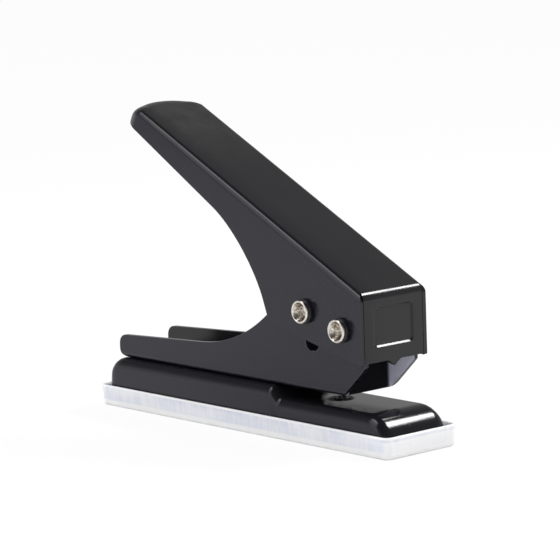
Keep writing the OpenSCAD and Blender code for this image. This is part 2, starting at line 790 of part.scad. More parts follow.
// The hollow of the handle, which runs out through the front below the fold
module handle_hollow() {
    far = 2 * handle_reach;
    inner_x = face_x - handle_sheet;
    intersection() {
        handle_form(handle_sheet);
        plate([[inner_x - far, fold_z - far], [face_x + over, fold_z - far],
               [face_x + over, fold_z], [inner_x, fold_z], [inner_x, fold_z + far],
               [inner_x - far, fold_z + far]], handle_w + 2 * over);
    }
}

// Recess of the panel in the front face
module panel_recess() {
    y = panel_w / 2;
    z = panel_h / 2;
    translate([face_x - panel_deep, 0, pivot_z + panel_up])
        rotate([90, 0, 90])
            linear_extrude(panel_deep + over)
                polygon(rounded([[-y, -z, panel_r], [y, -z, panel_r], [y, z, panel_r],
                                 [-y, z, panel_r]]));
}

module handle() {
    color(black)
        difference() {
            union() {
                difference() {
                    intersection() {
                        handle_form(0);
                        plate(handle_outline(), handle_w + 2 * over);
                    }
                    handle_hollow();
                }
                front_face();
            }
            cross_pin(pivot_x, pivot_z, pin_d / 2 + press_gap, handle_w + 2 * over);
            cross_pin(punch_x, drive_z, pin_d / 2 + press_gap, handle_w + 2 * over);
        }
}

// A pin across the handle, with a rolled and cupped head at each end
module headed_pin(x, z) {
    head_y = handle_w / 2 + ring_t;
    end_y = head_y + pin_head_t;
    head_r = pin_head_d / 2;
    cup_r = pin_cup_d / 2;
    half = [[pin_d / 2, head_y], [head_r, head_y], [head_r, end_y - bevel], [head_r - bevel, end_y],
            [cup_r, end_y], [cup_r - bevel, end_y - bevel], [cup_r - bevel, end_y - pin_cup_h / 2],
            [cup_r / 2, end_y - pin_cup_h], [0, end_y - pin_cup_h]];
    color(steel)
        translate([x, 0, z])
            rotate([90, 0, 0])
                rotate_extrude()
                    polygon(concat(half, [for (k = [len(half) - 1 : -1 : 0])
                                             [half[k][0], -half[k][1]]]));
}

module pivot_pin() {
    headed_pin(pivot_x, pivot_z);
}

module drive_pin() {
    headed_pin(punch_x, drive_z);
}

// The black ring between a pin's head and the handle's cheek
module head_ring(x, z, side) {
    color(dark)
        pin_ring(x, z, side, handle_w / 2, ring_d / 2, pin_d / 2 + ring_gap, ring_t, bevel);
}

// The washer between the handle's cheek and the frame's cheek
module gap_washer(x, z, side) {
    color(steel)
        pin_ring(x, z, side, handle_in - washer_t, washer_d / 2, pin_d / 2 + ring_gap, washer_t, 0);
}

module pivot_ring_near() {
    head_ring(pivot_x, pivot_z, -1);
}

module pivot_ring_far() {
    head_ring(pivot_x, pivot_z, 1);
}

module drive_ring_near() {
    head_ring(punch_x, drive_z, -1);
}

module drive_ring_far() {
    head_ring(punch_x, drive_z, 1);
}

module pivot_washer_near() {
    gap_washer(pivot_x, pivot_z, -1);
}

module pivot_washer_far() {
    gap_washer(pivot_x, pivot_z, 1);
}

module drive_washer_near() {
    gap_washer(punch_x, drive_z, -1);
}

module drive_washer_far() {
    gap_washer(punch_x, drive_z, 1);
}

module pivot_spacer() {
    length = 2 * (frame_in - spacer_gap);
    color(steel)
        difference() {
            cross_pin(pivot_x, pivot_z, spacer_d / 2, length);
            cross_pin(pivot_x, pivot_z, pin_d / 2 + pivot_gap, length + 2 * over);
        }
}

base();
chip_tray();
frame();
rear_rivet();
front_rivet();
die_ring();
guide_bush();
spring_seat_washer();
return_spring();
punch();
punch_head();
punch_lock_pin();
handle();
pivot_pin();
pivot_ring_near();
pivot_ring_far();
pivot_washer_near();
pivot_washer_far();
pivot_spacer();
drive_pin();
drive_ring_near();
drive_ring_far();
drive_washer_near();
drive_washer_far();
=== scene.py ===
"""The looks of a single hole punch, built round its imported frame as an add-on's operators."""
import json
from functools import partial
from math import acos, asin, cos, pi, radians, sin, tan, tau

import bmesh
import bpy
from bpy.props import FloatProperty, FloatVectorProperty, PointerProperty
from bpy.types import Operator, Panel, PropertyGroup
from mathutils import Matrix, Vector


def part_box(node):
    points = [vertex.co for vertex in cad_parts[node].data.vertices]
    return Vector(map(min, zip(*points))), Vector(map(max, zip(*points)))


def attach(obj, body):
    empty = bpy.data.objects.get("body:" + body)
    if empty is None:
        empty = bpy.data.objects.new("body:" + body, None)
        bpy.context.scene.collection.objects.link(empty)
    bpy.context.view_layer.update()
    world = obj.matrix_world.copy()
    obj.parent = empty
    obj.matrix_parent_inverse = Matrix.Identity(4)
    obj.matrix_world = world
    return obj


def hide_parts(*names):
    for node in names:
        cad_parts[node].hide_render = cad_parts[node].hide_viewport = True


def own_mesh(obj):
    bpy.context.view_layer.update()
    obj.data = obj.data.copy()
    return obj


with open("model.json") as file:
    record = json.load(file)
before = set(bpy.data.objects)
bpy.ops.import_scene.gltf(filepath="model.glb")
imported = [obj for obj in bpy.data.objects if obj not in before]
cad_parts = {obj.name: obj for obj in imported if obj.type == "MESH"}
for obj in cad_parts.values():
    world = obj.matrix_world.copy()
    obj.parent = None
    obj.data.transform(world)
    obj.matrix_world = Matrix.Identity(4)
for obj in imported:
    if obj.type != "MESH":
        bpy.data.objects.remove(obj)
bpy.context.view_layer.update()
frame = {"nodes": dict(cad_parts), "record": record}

BODIES = {node: body for body, nodes in frame["record"]["behaviour"]["bodies"].items()
          for node in nodes}

bl_info = {
    "name": "Single hole punch",
    "version": (1, 0, 0),
    "blender": (4, 5, 0),
    "location": "3D Viewport > Sidebar > Hole punch",
    "description": "Dresses the packed frame of a single hole punch, piece by piece",
    "category": "Object",
}

ON_PINS = "pivot_{}_near", "pivot_{}_far", "drive_{}_near", "drive_{}_far"
MM, MICRON = 1e-3, 1e-6
SAME_SPOT = 1e-6   # metres under which two new corners are one
UPRIGHT, ALONG_Y = Matrix.Identity(3), Matrix.Rotation(-pi / 2, 3, "X")
CREASE, SOFT_CREASE = radians(35), radians(50)
EDGE_STEPS, ROUND_STEPS, EVEN_WEIGHT = 3, 4, 90
TURN_STEPS = {"pin": 96, "die": 96, "ring": 80, "bush": 80, "washer": 72, "rivet": 64}
# How far apart the features of each pattern lie, in millimetres, and how deep it goes, in microns
GRAIN = {"flow": 11, "peel": 0.6, "nibs": 1.1, "hairlines": 2.1, "hands": 5, "blotch": 2.8,
         "runs": 3, "streaks": 0.9, "swirls": 4, "clouds": 9, "tarnish": 0.8, "groove": 0.12,
         "oil": 1.6, "scale": 0.22, "wear": 1.4, "sparks": 0.18}
DEPTH = {"enamel": 6, "blotch": 10, "runs": 5, "plastic": 15, "groove": 14, "scale": 6, "sparks": 8}
# Roughness of each finish where it is clean
ROUGH = {"enamel": 0.12, "frame": 0.16, "rivet": 0.2, "edge": 0.26, "blotch": 0.7, "plastic": 0.12,
         "plating": 0.15, "washer": 0.3, "spacer": 0.25, "die": 0.4, "bush": 0.25, "punch": 0.24,
         "wire": 0.28, "ring": 0.34}
ENAMEL, DULL, METAL = {"IOR": 1.36}, {"IOR": 1.1}, {"Metallic": 1}
PLASTIC = {"IOR": 1.46, "Transmission Weight": 0.18, "Subsurface Weight": 0.8,
           "Subsurface Radius": (1, 1, 1), "Subsurface Scale": 0.7 * MM}
PALE_INSIDE_LOW, EDGE_HIGHLIGHT_LOW, RING_WORN = 0.8, 0.35, 2.2   # shares of a finish's colour in patches
OUTER_SIDE = 1.12   # how far out the frame's outer side is held to lie, its inner side being 1


def fields(scale, kind, **rows):
    """Properties of one kind, each given by its description and its default before scaling."""
    made = {}
    for key, (about, default) in rows.items():
        facts = {"name": key.replace("_", " ").capitalize(), "description": about, **kind}
        if isinstance(default, tuple):
            made[key] = FloatVectorProperty(default=default, size=len(default), **facts)
        else:
            made[key] = FloatProperty(default=default * scale, **facts)
    return made


lengths = partial(fields, MM, {"unit": "LENGTH", "precision": 5})   # millimetres, held in metres
angles = partial(fields, radians(1), {"subtype": "ANGLE"})          # degrees, held in radians
tints = partial(fields, 1, {"subtype": "COLOR", "min": 0, "max": 1})
powers = partial(fields, 1, {"subtype": "POWER"})
places = partial(fields, 1, {"subtype": "XYZ"})
extents = partial(fields, 1, {"unit": "LENGTH"})
numbers = partial(fields, 1, {})


class SheetSizes(PropertyGroup):
    """Sizes of the pressed sheet-steel pieces."""
    __annotations__ = lengths(
        edge_round=("Radius that tumbling leaves on a cut edge of the sheet", 0.26),
        frame_sheet=("Thickness of the frame's sheet", 1.2),
        wall_front=("Place of the front of the frame's front wall", 40.2),
        wall_near=("Distance within which a place is on that wall", 0.15),
        slack=("How far the inside's finish reaches past the sheet's face", 0.02),
        weld=("Distance under which two corners of a copied mesh are one", 0.002)) | angles(
        edge_angle=("Least angle of a cut edge", 42),
        crease=("Least angle at which faces meet in an edge", 24),
        flat=("Angle under which neighbouring faces are one flat face", 0.3))


class HandleSizes(PropertyGroup):
    """Sizes of the folded lever handle. Reach and depth are along and square to its top."""
    __annotations__ = angles(
        slope=("Angle of the handle's top at rest", 26.3)) | lengths(
        sheet=("Thickness of the sheet", 1.2),
        reach=("Length of the top, from the front face to the tip", 106.5),
        face_rise=("Top of the front face over the pivot", 9.8),
        face_drop=("Lower edge of the front face under the pivot", 8.6),
        cheek_drop=("Lower edge of the cheeks under the pivot", 9.15),
        side_fold=("Outer radius of the long folds", 1.8),
        front_fold=("Outer radius of the fold over the front face", 2.8),
        tip_fold=("Outer radius of the pressed edge at the tip", 5.0),
        tip_round=("Radius of the tip, seen from above", 20),
        tip_corner=("Radius of the tip's corners, seen from above", 6),
        tip_depth=("Depth of the skirt at the tip", 5.3),
        elbow_reach=("Reach of the bend in the cheek's lower edge", 44.2),
        elbow_depth=("Depth of that bend", 10.0),
        elbow_round=("Radius of that bend", 46),
        skirt_start=("Reach from where the skirt goes round the tip", 84),
        heel_back=("Rear corner of the cheek, behind the drive pin", 15.0),
        heel_up=("Rear corner of the cheek, over its lower edge", 8.5),
        pin_hole=("Diameter of the holes for the pins", 4.62),
        heel_round=("Radius of the cheek's lower corners", 1),
        seam=("Gap between the front face and a cheek", 0.2),
        tab_wide=("Width of the pointed tab under the front face", 4.6),
        panel_wide=("Width of the pressed panel", 14.6),
        panel_high=("Height of the pressed panel", 11),
        panel_up=("Middle of the panel over the pivot", 0.7),
        panel_round=("Radius of the panel's corners", 1.4),
        panel_deep=("Depth of the panel, pressed into the front face", 0.5),
        grip_start=("Place along the base where hands start to rub", -2),
        grip_end=("Place along the base where hands rub the most", -45),
        # The next two places ease in a painted sheen that lightens the top from its near edge
        # inwards
        grip_near=("Place across the top where hands start to rub", -11.5),
        grip_in=("Place across the top from where hands rub fully", -3),
        panel_edge=("Width of the panel's sloping edge", 0.75))


class TraySizes(PropertyGroup):
    """Sizes of the clear chip tray."""
    __annotations__ = lengths(
        wall=("Thickness of the walls", 0.8),
        floor=("Thickness of the floor", 0.9),
        ledge_top=("Top of the ledge that the base stands on", 1.9),
        ledge_wide=("Width of the ledge", 1.2),
        corner=("Radius of the outer corners at the lip, seen from above", 2.6),
        low_round=("Radius of the outer lower edge", 0.8),
        lip_round=("Radius of the lip's edges", 0.22),
        stop_top=("Top of the stops at the tray's ends", 4.9),
        stop_long=("Length of the stops at the tray's ends", 0.8),
        stop_side=("Width of the stops along the tray's sides", 0.06)) | angles(
        lean=("Outward lean of the walls", 4.3))


class PinSizes(PropertyGroup):
    """Sizes of the two rolled pins and of the rings and washers on them."""
    __annotations__ = lengths(
        shank=("Diameter of the pins", 4.6),
        head_high=("Thickness of a rolled head, past its ring", 1.1),
        cup_wide=("Diameter of the hollow in a head", 5.25),
        cup_deep=("Depth of the hollow in a head", 2.1),
        lip_round=("Radius of the rolled lip", 0.36),
        floor_wide=("Diameter of the flat floor of the hollow", 2.5),
        pip_high=("Height of the pip that the tool leaves in the hollow", 0.34),
        pip_wide=("Diameter of the pip", 1.3),
        ring_bore=("Diameter of the hole in a black ring", 4.64),
        ring_round=("Radius of a black ring's outer edges", 0.28),
        washer_bore=("Diameter of the hole in a washer", 4.7),
        washer_round=("Radius of a washer's edges", 0.08),
        spacer_bore=("Diameter of the hole in the spacer tube", 4.7))


class PunchSizes(PropertyGroup):
    """Sizes of the punch's tools: the rivets, the die, the bush and the spring."""
    __annotations__ = lengths(
        rivet_shank=("Diameter of the rivets", 3.5),
        rivet_dome=("Height of a rivet's domed head", 1.1),
        rivet_tail=("Height of a rivet's clenched tail", 0.9),
        tail_round=("Radius of the tail's edge", 0.25),
        die_bore=("Diameter of the hole in the die", 6.1),
        die_rim=("Diameter of the die where it shows in the deck", 7.62),
        die_flange=("Height of the die's flange", 2),
        die_land=("Height of the die's cutting bore", 1),
        die_relief=("Widening of the bore under the land", 0.3),
        die_mouth=("Radius round the mouth of the die", 0.35),
        die_edge=("Radius of the die's rim", 0.3),
        die_foot=("Radius of the flange's edges", 0.2),
        bush_bore=("Diameter of the hole in the bush", 6.06),
        bush_neck=("Diameter of the bush's neck", 7.86),
        bush_flange=("Top of the bush's flange over its foot", 2.4),
        bush_step=("Bottom of the bush's flange over its foot", 1.22),
        bush_round=("Radius of the bush's outer edges", 0.15),
        bush_mouth=("Radius round the ends of the bush's bore", 0.08),
        wire=("Diameter of the spring's wire", 0.9),
        close_pitch=("Rise of a closed turn of the spring", 0.96),
        travel=("Travel of the punch, which shortens the spring", 6.1),
        ground_round=("Radius of the edges of the punch and its head", 0.06)) | numbers(
        turns=("Turns of the spring", 7.5),
        closed=("Turns wound close at each end", 0.8))


class Finishes(PropertyGroup):
    """Colours of the finishes."""
    __annotations__ = tints(
        enamel_low=("Stoved enamel where it is thin", (0.0048, 0.0046, 0.0062)),
        enamel_high=("Stoved enamel where it is full", (0.0080, 0.0077, 0.0100)),
        # Lighter enamel on the handle's top: a mottled hand-rubbed haze, and a painted sheen from
        # the near edge inwards
        rubbed=("Stoved enamel that hands have rubbed", (0.030, 0.030, 0.0295)),
        # The upright sides are lighter and more violet than the rest: a painted reflection of the
        # pale floor
        side=("Stoved enamel on the upright sides", (0.0105, 0.0100, 0.0165)),
        # Pale lavender painted inside the ears and on the front wall's edges: painted light in place
        # of the bright reflection there
        inside=("Thin enamel inside the frame's ears", (0.80, 0.80, 0.96)),
        # Pale grey on the rounded cut edges: a painted highlight, over enamel that is thinner there
        edge=("Enamel drawn thin over a cut edge", (0.230, 0.226, 0.255)),
        plastic=("Tint of the tray's plastic", (0.975, 0.975, 1.0)),
        # The tray's darker tint: painted shade where the black base stands behind the walls, under
        # the rim and at the ledge's height
        plastic_deep=("Tint of the tray in its streaks", (0.70, 0.73, 0.83)),
        plate=("Bright plating of the pins", (0.72, 0.69, 0.64)),
        plate_old=("Plating where it is dulled", (0.24, 0.19, 0.14)),
        ring=("Black moulded rings", (0.004, 0.004, 0.0045)),
        tool=("Turned and hardened steel", (0.42, 0.41, 0.40)),
        wire=("Drawn and oiled wire", (0.30, 0.29, 0.28)))


class StageSizes(PropertyGroup):
    """The camera, the lamps and the floor."""
    __annotations__ = places(
        aim=("Point that the camera looks at", (0.00564, 0, 0.04108)),
        key_from=("Way to the lamp behind", (0.27, 0.65, 0.70)),
        top_from=("Way to the lamp overhead", (-0.20, -0.33, 0.92)),
        mid_from=("Way to the lamp under the top one", (-0.29, -0.55, 0.78)),
        side_from=("Way to the lamp beside", (-0.33, -0.75, 0.60))) | angles(
        azimuth=("Camera's turn round the object", 48.92),
        elevation=("Camera's height as an angle", 8.91),
        roll=("Camera's turn about its own line of sight", -2.04)) | lengths(
        distance=("Distance from the camera to its aim", 817.04),
        floor_wide=("Width of the floor", 4000),
        lamp_away=("Distance from the aim to each lamp", 750)) | numbers(
        lens=("Focal length on the sensor, in millimetres", 191.13),
        sensor=("Width of the sensor, in millimetres", 36),
        floor_tone=("Grey of the floor as it lights the object", 0.76),
        floor_white=("Share of white in what the camera sees of the floor", 0.9),
        sky=("Level of the even light all round", 0.92)) | powers(
        key=("Power of the soft lamp behind, in watts", 3.4),
        top=("Power of the soft lamp overhead, in watts", 0.75),
        mid=("Power of the lamp under the top one, in watts", 0.6),
        side=("Power of the tall soft lamp beside, in watts", 1.0)) | extents(
        key_size=("Width and height of the lamp behind", (0.26, 0.12)),
        top_size=("Width and height of the lamp overhead", (0.32, 0.26)),
        mid_size=("Width and height of the lamp under the top one", (0.32, 0.60)),
        side_size=("Width and height of the lamp beside", (0.32, 0.95)))


class Socket:
    """A shader node's output that takes part in Python sums: each operator adds its Math node."""

    def __init__(self, finish, output):
        self.finish = finish
        self.output = output

    def __add__(self, other):
        return self.finish.maths("ADD", self, other)

    def __sub__(self, other):
        return self.finish.maths("SUBTRACT", self, other)

    def __rsub__(self, other):
        return self.finish.maths("SUBTRACT", other, self)

    def __mul__(self, other):
        return self.finish.maths("MULTIPLY", self, other)

    __radd__ = __add__
    __rmul__ = __mul__


def pick(sockets, key):
    """A node's socket by its number, or by its identifier or name."""
    if isinstance(key, int):
        return sockets[key]
    return next(socket for socket in sockets if key in (socket.identifier, socket.name))


class Finish:
    """A material, or another holder of shader nodes, that is built up by expressions."""

    def __init__(self, name, holder=None):
        self.holder = holder or bpy.data.materials.new(name)
        self.holder.use_nodes = True
        self.tree = self.holder.node_tree
        self.tree.nodes.clear()

    def node(self, kind, settings, sockets, output=0):
        """Adds a node: its settings first, then the values and links of its sockets."""
        node = self.tree.nodes.new(kind)
        for name, value in settings.items():
            if name != "stops":
                setattr(node, name, value)
                continue
            while len(node.color_ramp.elements) < len(value):
                node.color_ramp.elements.new(1)
            for element, (place, level) in zip(node.color_ramp.elements, value):
                element.position = place
                element.color = (level, level, level, 1)
        for key, value in sockets.items():
            socket = pick(node.inputs, key)
            if isinstance(value, Socket):
                self.tree.links.new(value.output, socket)
            else:
                socket.default_value = value
        return Socket(self, pick(node.outputs, output)) if node.outputs else node

    def maths(self, operation, *values):
        """A Math node's answer to its values."""
        return self.node("ShaderNodeMath", {"operation": operation}, dict(enumerate(values)))

    def here(self, axis):
        """Where a place lies along X, Y or Z of the object, in metres."""
        place = self.node("ShaderNodeTexCoord", {}, {}, "Object")
        return self.node("ShaderNodeSeparateXYZ", {}, {"Vector": place}, axis)

    def place(self, scale=1, offset=(0, 0, 0), stretch=(1, 1, 1)):
        """Places in the object, moved and scaled for a pattern."""
        here = self.node("ShaderNodeTexCoord", {}, {}, "Object")
        return self.node("ShaderNodeMapping", {"vector_type": "POINT"}, {
            "Vector": here, "Location": [-scale * s * o for s, o in zip(stretch, offset)],
            "Scale": [scale * s for s in stretch]})

    def noise(self, grain, detail=2, stretch=(1, 1, 1), offset=(0, 0, 0)):
        """Noise from 0 to 1, with the grain of a pattern."""
        return self.node("ShaderNodeTexNoise", {}, {
            "Vector": self.place(1 / (GRAIN[grain] * MM), offset, stretch), "Scale": 1,
            "Detail": detail}, "Fac")

    def ramp(self, value, *stops):
        """A value passed through stops of place and level."""
        return self.node("ShaderNodeValToRGB", {"stops": stops}, {"Fac": value})

    def eased(self, value, start, end, low=0):
        """A level that eases from low, where a value is at start, to 1 at its end."""
        return self.node("ShaderNodeMapRange", {"interpolation_type": "SMOOTHSTEP"}, {
            "Value": value, "From Min": start, "From Max": end, "To Min": low, "To Max": 1})

    def blend(self, amount, low, high):
        """A colour between two colours or links, by an amount from 0 to 1."""
        low, high = (c if isinstance(c, Socket) else (*c, 1) for c in (low, high))
        return self.node("ShaderNodeMix", {"data_type": "RGBA"}, {
            "Factor_Float": amount, "A_Color": low, "B_Color": high}, "Result_Color")

    def surface(self, tint, rough, height, pattern, constants):
        """A Principled shader, bumped by a height from 0 to 1 with the depth of a pattern."""
        normal = self.node("ShaderNodeBump", {}, {
            "Height": height, "Distance": DEPTH[pattern] * MICRON, "Strength": 1}, "Normal")
        return self.node("ShaderNodeBsdfPrincipled", {}, {
            "Base Color": tint, "Roughness": rough, "Normal": normal, **constants})

    def closed(self, shader, kind="Material"):
        """Closes the nodes with an output, and gives the material or world."""
        self.node("ShaderNodeOutput" + kind, {}, {"Surface": shader})
        return self.holder


def stoved(paint, colours, flow, side_y, rubbed=None):
    """Stoved enamel's colour: by its flow; lighter where hands rub it and where a painted sheen
    falls on the top; and lighter and more violet on the upright sides, a painted reflection of the
    pale floor.
    """
    enamel = paint.blend(flow, colours.enamel_low, colours.enamel_high)
    if rubbed:
        enamel = paint.blend(rubbed, enamel, colours.rubbed)
    off_side = paint.maths("ABSOLUTE", paint.here("Y")) * (1 / side_y)
    # Painted reflection: the upright sides lighter and more violet than the top
    return paint.blend(paint.ramp(off_side, (0.90, 0), (0.98, 1)), enamel, colours.side)


def black_enamel(name, colours, rough, side_y, grip=None):
    """Stoved black enamel: soft flow, fine orange peel, a few dust nibs and hairlines.

    Where the sizes given as grip say, it is softer and lighter: a mottled hand-rubbed haze towards
    the tip, and a painted sheen that lightens the top from its near edge inwards.
    """
    paint = Finish(name)
    flow, peel = paint.noise("flow", 3), paint.noise("peel")
    nibs = paint.ramp(paint.noise("nibs", 1, offset=(0.3, 0.1, 0.2)), (0.76, 0), (0.82, 1))
    hairlines = paint.ramp(paint.noise("hairlines", 3, (0.12, 1, 1), (0.2, 0, 0)),
                           (0.60, 0), (0.72, 1))
    rough = rough + 0.05 * flow + 0.12 * nibs + 0.05 * hairlines
    rubbed = None
    if grip:
        held = paint.eased(paint.here("X"), grip.grip_start, grip.grip_end)
        mottle = paint.ramp(paint.noise("hands", 4), (0.3, 0), (0.7, 1))
        # Painted sheen: the top lightened from its near edge inwards
        painted_sheen_across = paint.eased(paint.here("Y"), grip.grip_near, grip.grip_in, low=0.1)
        # The rubbed colour mixes a mottled hand-rubbed haze towards the tip with that painted sheen
        rubbed = painted_sheen_across * (0.2 + 0.8 * held * (0.35 + 0.65 * mottle))
        rough = rough + 0.22 * rubbed
    return paint.closed(paint.surface(stoved(paint, colours, flow, side_y, rubbed), rough,
                                      peel + 2.2 * flow + 0.5 * nibs, "enamel", ENAMEL))


def frame_enamel(name, colours, sizes, inside):
    """The frame's enamel, with painted light at the front: pale lavender inside the ears and at the
    front wall's edges, in place of the bright reflection there, and a dull front wall that reads
    dark, a painted shade.
    """
    paint = Finish(name)
    flow, peel, blotch = paint.noise("flow", 3), paint.noise("peel"), paint.noise("blotch", 3)
    along, off_side = paint.here("X"), paint.maths("ABSOLUTE", paint.here("Y"))
    within = paint.maths("LESS_THAN", off_side, inside)
    ahead = paint.maths("GREATER_THAN", along, sizes.wall_front + sizes.wall_near)
    # The middle of the front wall, which the dull shader darkens as painted shade
    wall = paint.maths("COMPARE", along, sizes.wall_front, sizes.wall_near) * within
    # The wall's edges by the ears stay glossy and are painted pale
    corner = paint.ramp(off_side * (1 / inside), (0.80, 0), (0.99, 1))
    # Where pale lavender is painted as light: ahead of the front wall inside the ears, and on the
    # wall's edges
    thin = ahead * within + paint.maths("MINIMUM", wall, corner)
    enamel = stoved(paint, colours, flow, inside * OUTER_SIDE)
    # The painted pale lavender, in blotches
    over = paint.blend(blotch, [PALE_INSIDE_LOW * c for c in colours.inside], colours.inside)
    glossy = paint.surface(paint.blend(thin, enamel, over), ROUGH["frame"] + 0.07 * flow
                           + 0.3 * thin, peel + 2.2 * flow, "enamel", ENAMEL)
    # A dull shader with little reflection, mixed in on the front wall to darken it: painted shade
    dull = paint.surface(enamel, ROUGH["blotch"] + 0.2 * blotch, blotch, "blotch", DULL)
    return paint.closed(paint.node("ShaderNodeMixShader", {}, {
        0: wall * (1 - corner), 1: glossy, 2: dull}))


def edge_enamel_painted_highlight(name, colours):
    """Enamel that has drawn back from a cut edge: thinner and a little rougher, and pale grey, which
    is a painted highlight along the edge.
    """
    paint = Finish(name)
    runs = paint.noise("runs", 3)
    return paint.closed(paint.surface(
        paint.blend(runs, [EDGE_HIGHLIGHT_LOW * c for c in colours.edge], colours.edge),
        ROUGH["edge"] + 0.12 * runs, paint.noise("peel"), "runs", ENAMEL))


def clear_plastic(name, colours, ledge_top, size):
    """Moulded clear plastic with streaks and patches, its tint darkened by painted shade where the
    black base stands behind it, less at the tray's ends, and in a band under the rim and a faint
    line at the ledge's height.
    """
    plastic = Finish(name)
    streaks = plastic.noise("streaks", 3, (1, 1, 0.1))
    swirls = plastic.noise("swirls", 3, (0.25, 0.25, 2.5), (0.2, 0, 0.1))
    clouds = plastic.noise("clouds", 3, offset=(0.1, 0.4, 0))
    height = plastic.here("Z") * (1 / size.z)
    foot = ledge_top / size.z
    # Painted shade where the black base stands behind the wall
    behind = plastic.ramp(height, (0.8 * foot, 0), (1.15 * foot, 1), (0.88, 1), (0.97, 0))
    off_end = plastic.maths("ABSOLUTE", plastic.here("X") * (2 / size.x))
    # Less painted shade on the end walls
    walls = plastic.ramp(off_end, (0.955, 1), (0.985, 0.25))
    # Streaks and patches break up the painted shade
    shade_breaks = plastic.ramp(0.35 * streaks + 0.35 * clouds + 0.3 * swirls, (0.42, 0), (0.60, 1))
    # Painted shade lines: a band under the rim, and a faint line at the ledge's height
    painted_shade_lines = plastic.ramp(height, (0.28, 0), (0.30, 0.4), (0.32, 0), (0.77, 0), (0.80, 1),
                         (0.90, 1), (0.93, 0))
    shade = behind * walls * (1 - 0.55 * shade_breaks)
    # How far the tint goes towards the painted shade colour
    deep = plastic.maths("MAXIMUM", 0.8 * shade, painted_shade_lines * (1 - 0.7 * shade_breaks))
    return plastic.closed(plastic.surface(
        plastic.blend(deep, colours.plastic, colours.plastic_deep), ROUGH["plastic"] + 0.2 * clouds,
        streaks + 0.7 * clouds + swirls, "plastic", PLASTIC))


def turned_steel(name, bright, dull, centre, rough, plane=(1, 1, 0), hollow=0):
    """Turned metal: fine rings in a plane, mottled patches, and a dull hollow of a radius."""
    steel = Finish(name)
    off_axis = steel.node("ShaderNodeVectorMath", {"operation": "LENGTH"},
                          {0: steel.place(1, centre, plane)}, "Value")
    groove = steel.maths("SINE", off_axis * (1 / (GRAIN["groove"] * MM)))
    patches = steel.ramp(steel.noise("tarnish", 4), (0.38, 0), (0.62, 1))
    if hollow:
        inner = steel.ramp(off_axis * (0.5 / hollow), (0.42, 1), (0.5, 0))
        patches = patches * (0.25 + 0.75 * inner)
    return steel.closed(steel.surface(
        steel.blend(patches, bright, dull), rough + 0.16 * patches + 0.03 * groove,
        0.3 * groove + 1.6 * patches, "groove", METAL))


def plain_steel(name, bright, dull, rough):
    """Drawn or tumbled steel: fine scale and oil in soft patches."""
    steel = Finish(name)
    patches = steel.ramp(steel.noise("oil", 4), (0.3, 0), (0.7, 1))
    return steel.closed(steel.surface(steel.blend(patches, bright, dull), rough + 0.2 * patches,
                                      steel.noise("scale"), "scale", METAL))


def moulded_black(name, colours):
    """Black moulded rings: a fine sparked grain, rubbed smoother in patches."""
    rubber = Finish(name)
    rubbed = rubber.noise("wear")
    return rubber.closed(rubber.surface(
        rubber.blend(rubbed, colours.ring, [RING_WORN * c for c in colours.ring]),
        ROUGH["ring"] + 0.2 * rubbed, rubber.noise("sparks"), "sparks", {}))


def finish_piece(shape, name, material, node, crease=CREASE):
    """Makes an object of a bmesh, smooth but for its creases, in place of a node."""
    mesh = bpy.data.meshes.new(name)
    shape.to_mesh(mesh)
    shape.free()
    mesh.shade_smooth()
    mesh.set_sharp_from_angle(angle=crease)
    mesh.materials.append(material)
    piece = bpy.data.objects.new(name, mesh)
    bpy.context.scene.collection.objects.link(piece)
    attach(piece, BODIES[node])
    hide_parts(node)
    return piece


def softened(node, name, material, sizes, edge_round=None):
    """A welded copy of a CAD node, with rounds on its cut edges and even shading."""
    shape = bmesh.new()
    shape.from_mesh(frame["nodes"][node].data)
    bmesh.ops.remove_doubles(shape, verts=shape.verts, dist=sizes.weld)
    bmesh.ops.dissolve_limit(shape, angle_limit=sizes.flat, verts=shape.verts, edges=shape.edges)
    tumble(finish_piece(shape, name, material, node, sizes.crease), sizes, edge_round)


def tumble(piece, sizes, edge_round=None):
    """Rounds the cut edges of a piece. On enamelled sheet, the rounds get pale grey enamel: a
    painted highlight along each edge.
    """
    if edge_round is None:
        piece.data.materials.append(bpy.data.materials.get("enamel_edge")
                                    or edge_enamel_painted_highlight("enamel_edge", bpy.context.scene.punch_finishes))
    soft = piece.modifiers.new("tumbled edges", "BEVEL")
    soft.width = edge_round or sizes.edge_round
    soft.segments = EDGE_STEPS
    soft.limit_method = "ANGLE"
    soft.angle_limit = sizes.edge_angle
    # The rounds take the pale edge material: a painted highlight along each edge
    soft.material = 1 if edge_round is None else -1
    soft.use_clamp_overlap = True
    shade_evenly(piece, EVEN_WEIGHT)


def shade_evenly(piece, weight):
    """Shades a piece by its larger faces, and keeps its creases."""
    even = piece.modifiers.new("even shading", "WEIGHTED_NORMAL")
    even.keep_sharp = True
    even.weight = weight


def turned(outline, steps, turn=UPRIGHT, centre=(0, 0, 0), closed=False, rounds=()):
    """A bmesh turned from an outline of (radius, height) points, about the turned Z axis.

    Each of rounds is a radius and the numbers of the outline's corners that have it.
    """
    shape = bmesh.new()
    corners = [shape.verts.new((r, 0, h)) for r, h in outline]
    for run in zip(corners, corners[1:] + corners[:1] * closed):
        shape.edges.new(run)
    for radius, numbers in rounds:
        bmesh.ops.bevel(shape, geom=[corners[n] for n in numbers], offset=radius,
                        segments=ROUND_STEPS, profile=0.5, affect="VERTICES", material=-1)
    bmesh.ops.spin(shape, geom=shape.verts[:] + shape.edges[:], cent=(0, 0, 0), axis=(0, 0, 1),
                   angle=tau, steps=steps, use_merge=True)
    bmesh.ops.remove_doubles(shape, verts=shape.verts, dist=SAME_SPOT)
    bmesh.ops.recalc_face_normals(shape, faces=shape.faces)
    bmesh.ops.transform(shape, matrix=Matrix.Translation(centre) @ turn.to_4x4(),
                        verts=shape.verts)
    return shape


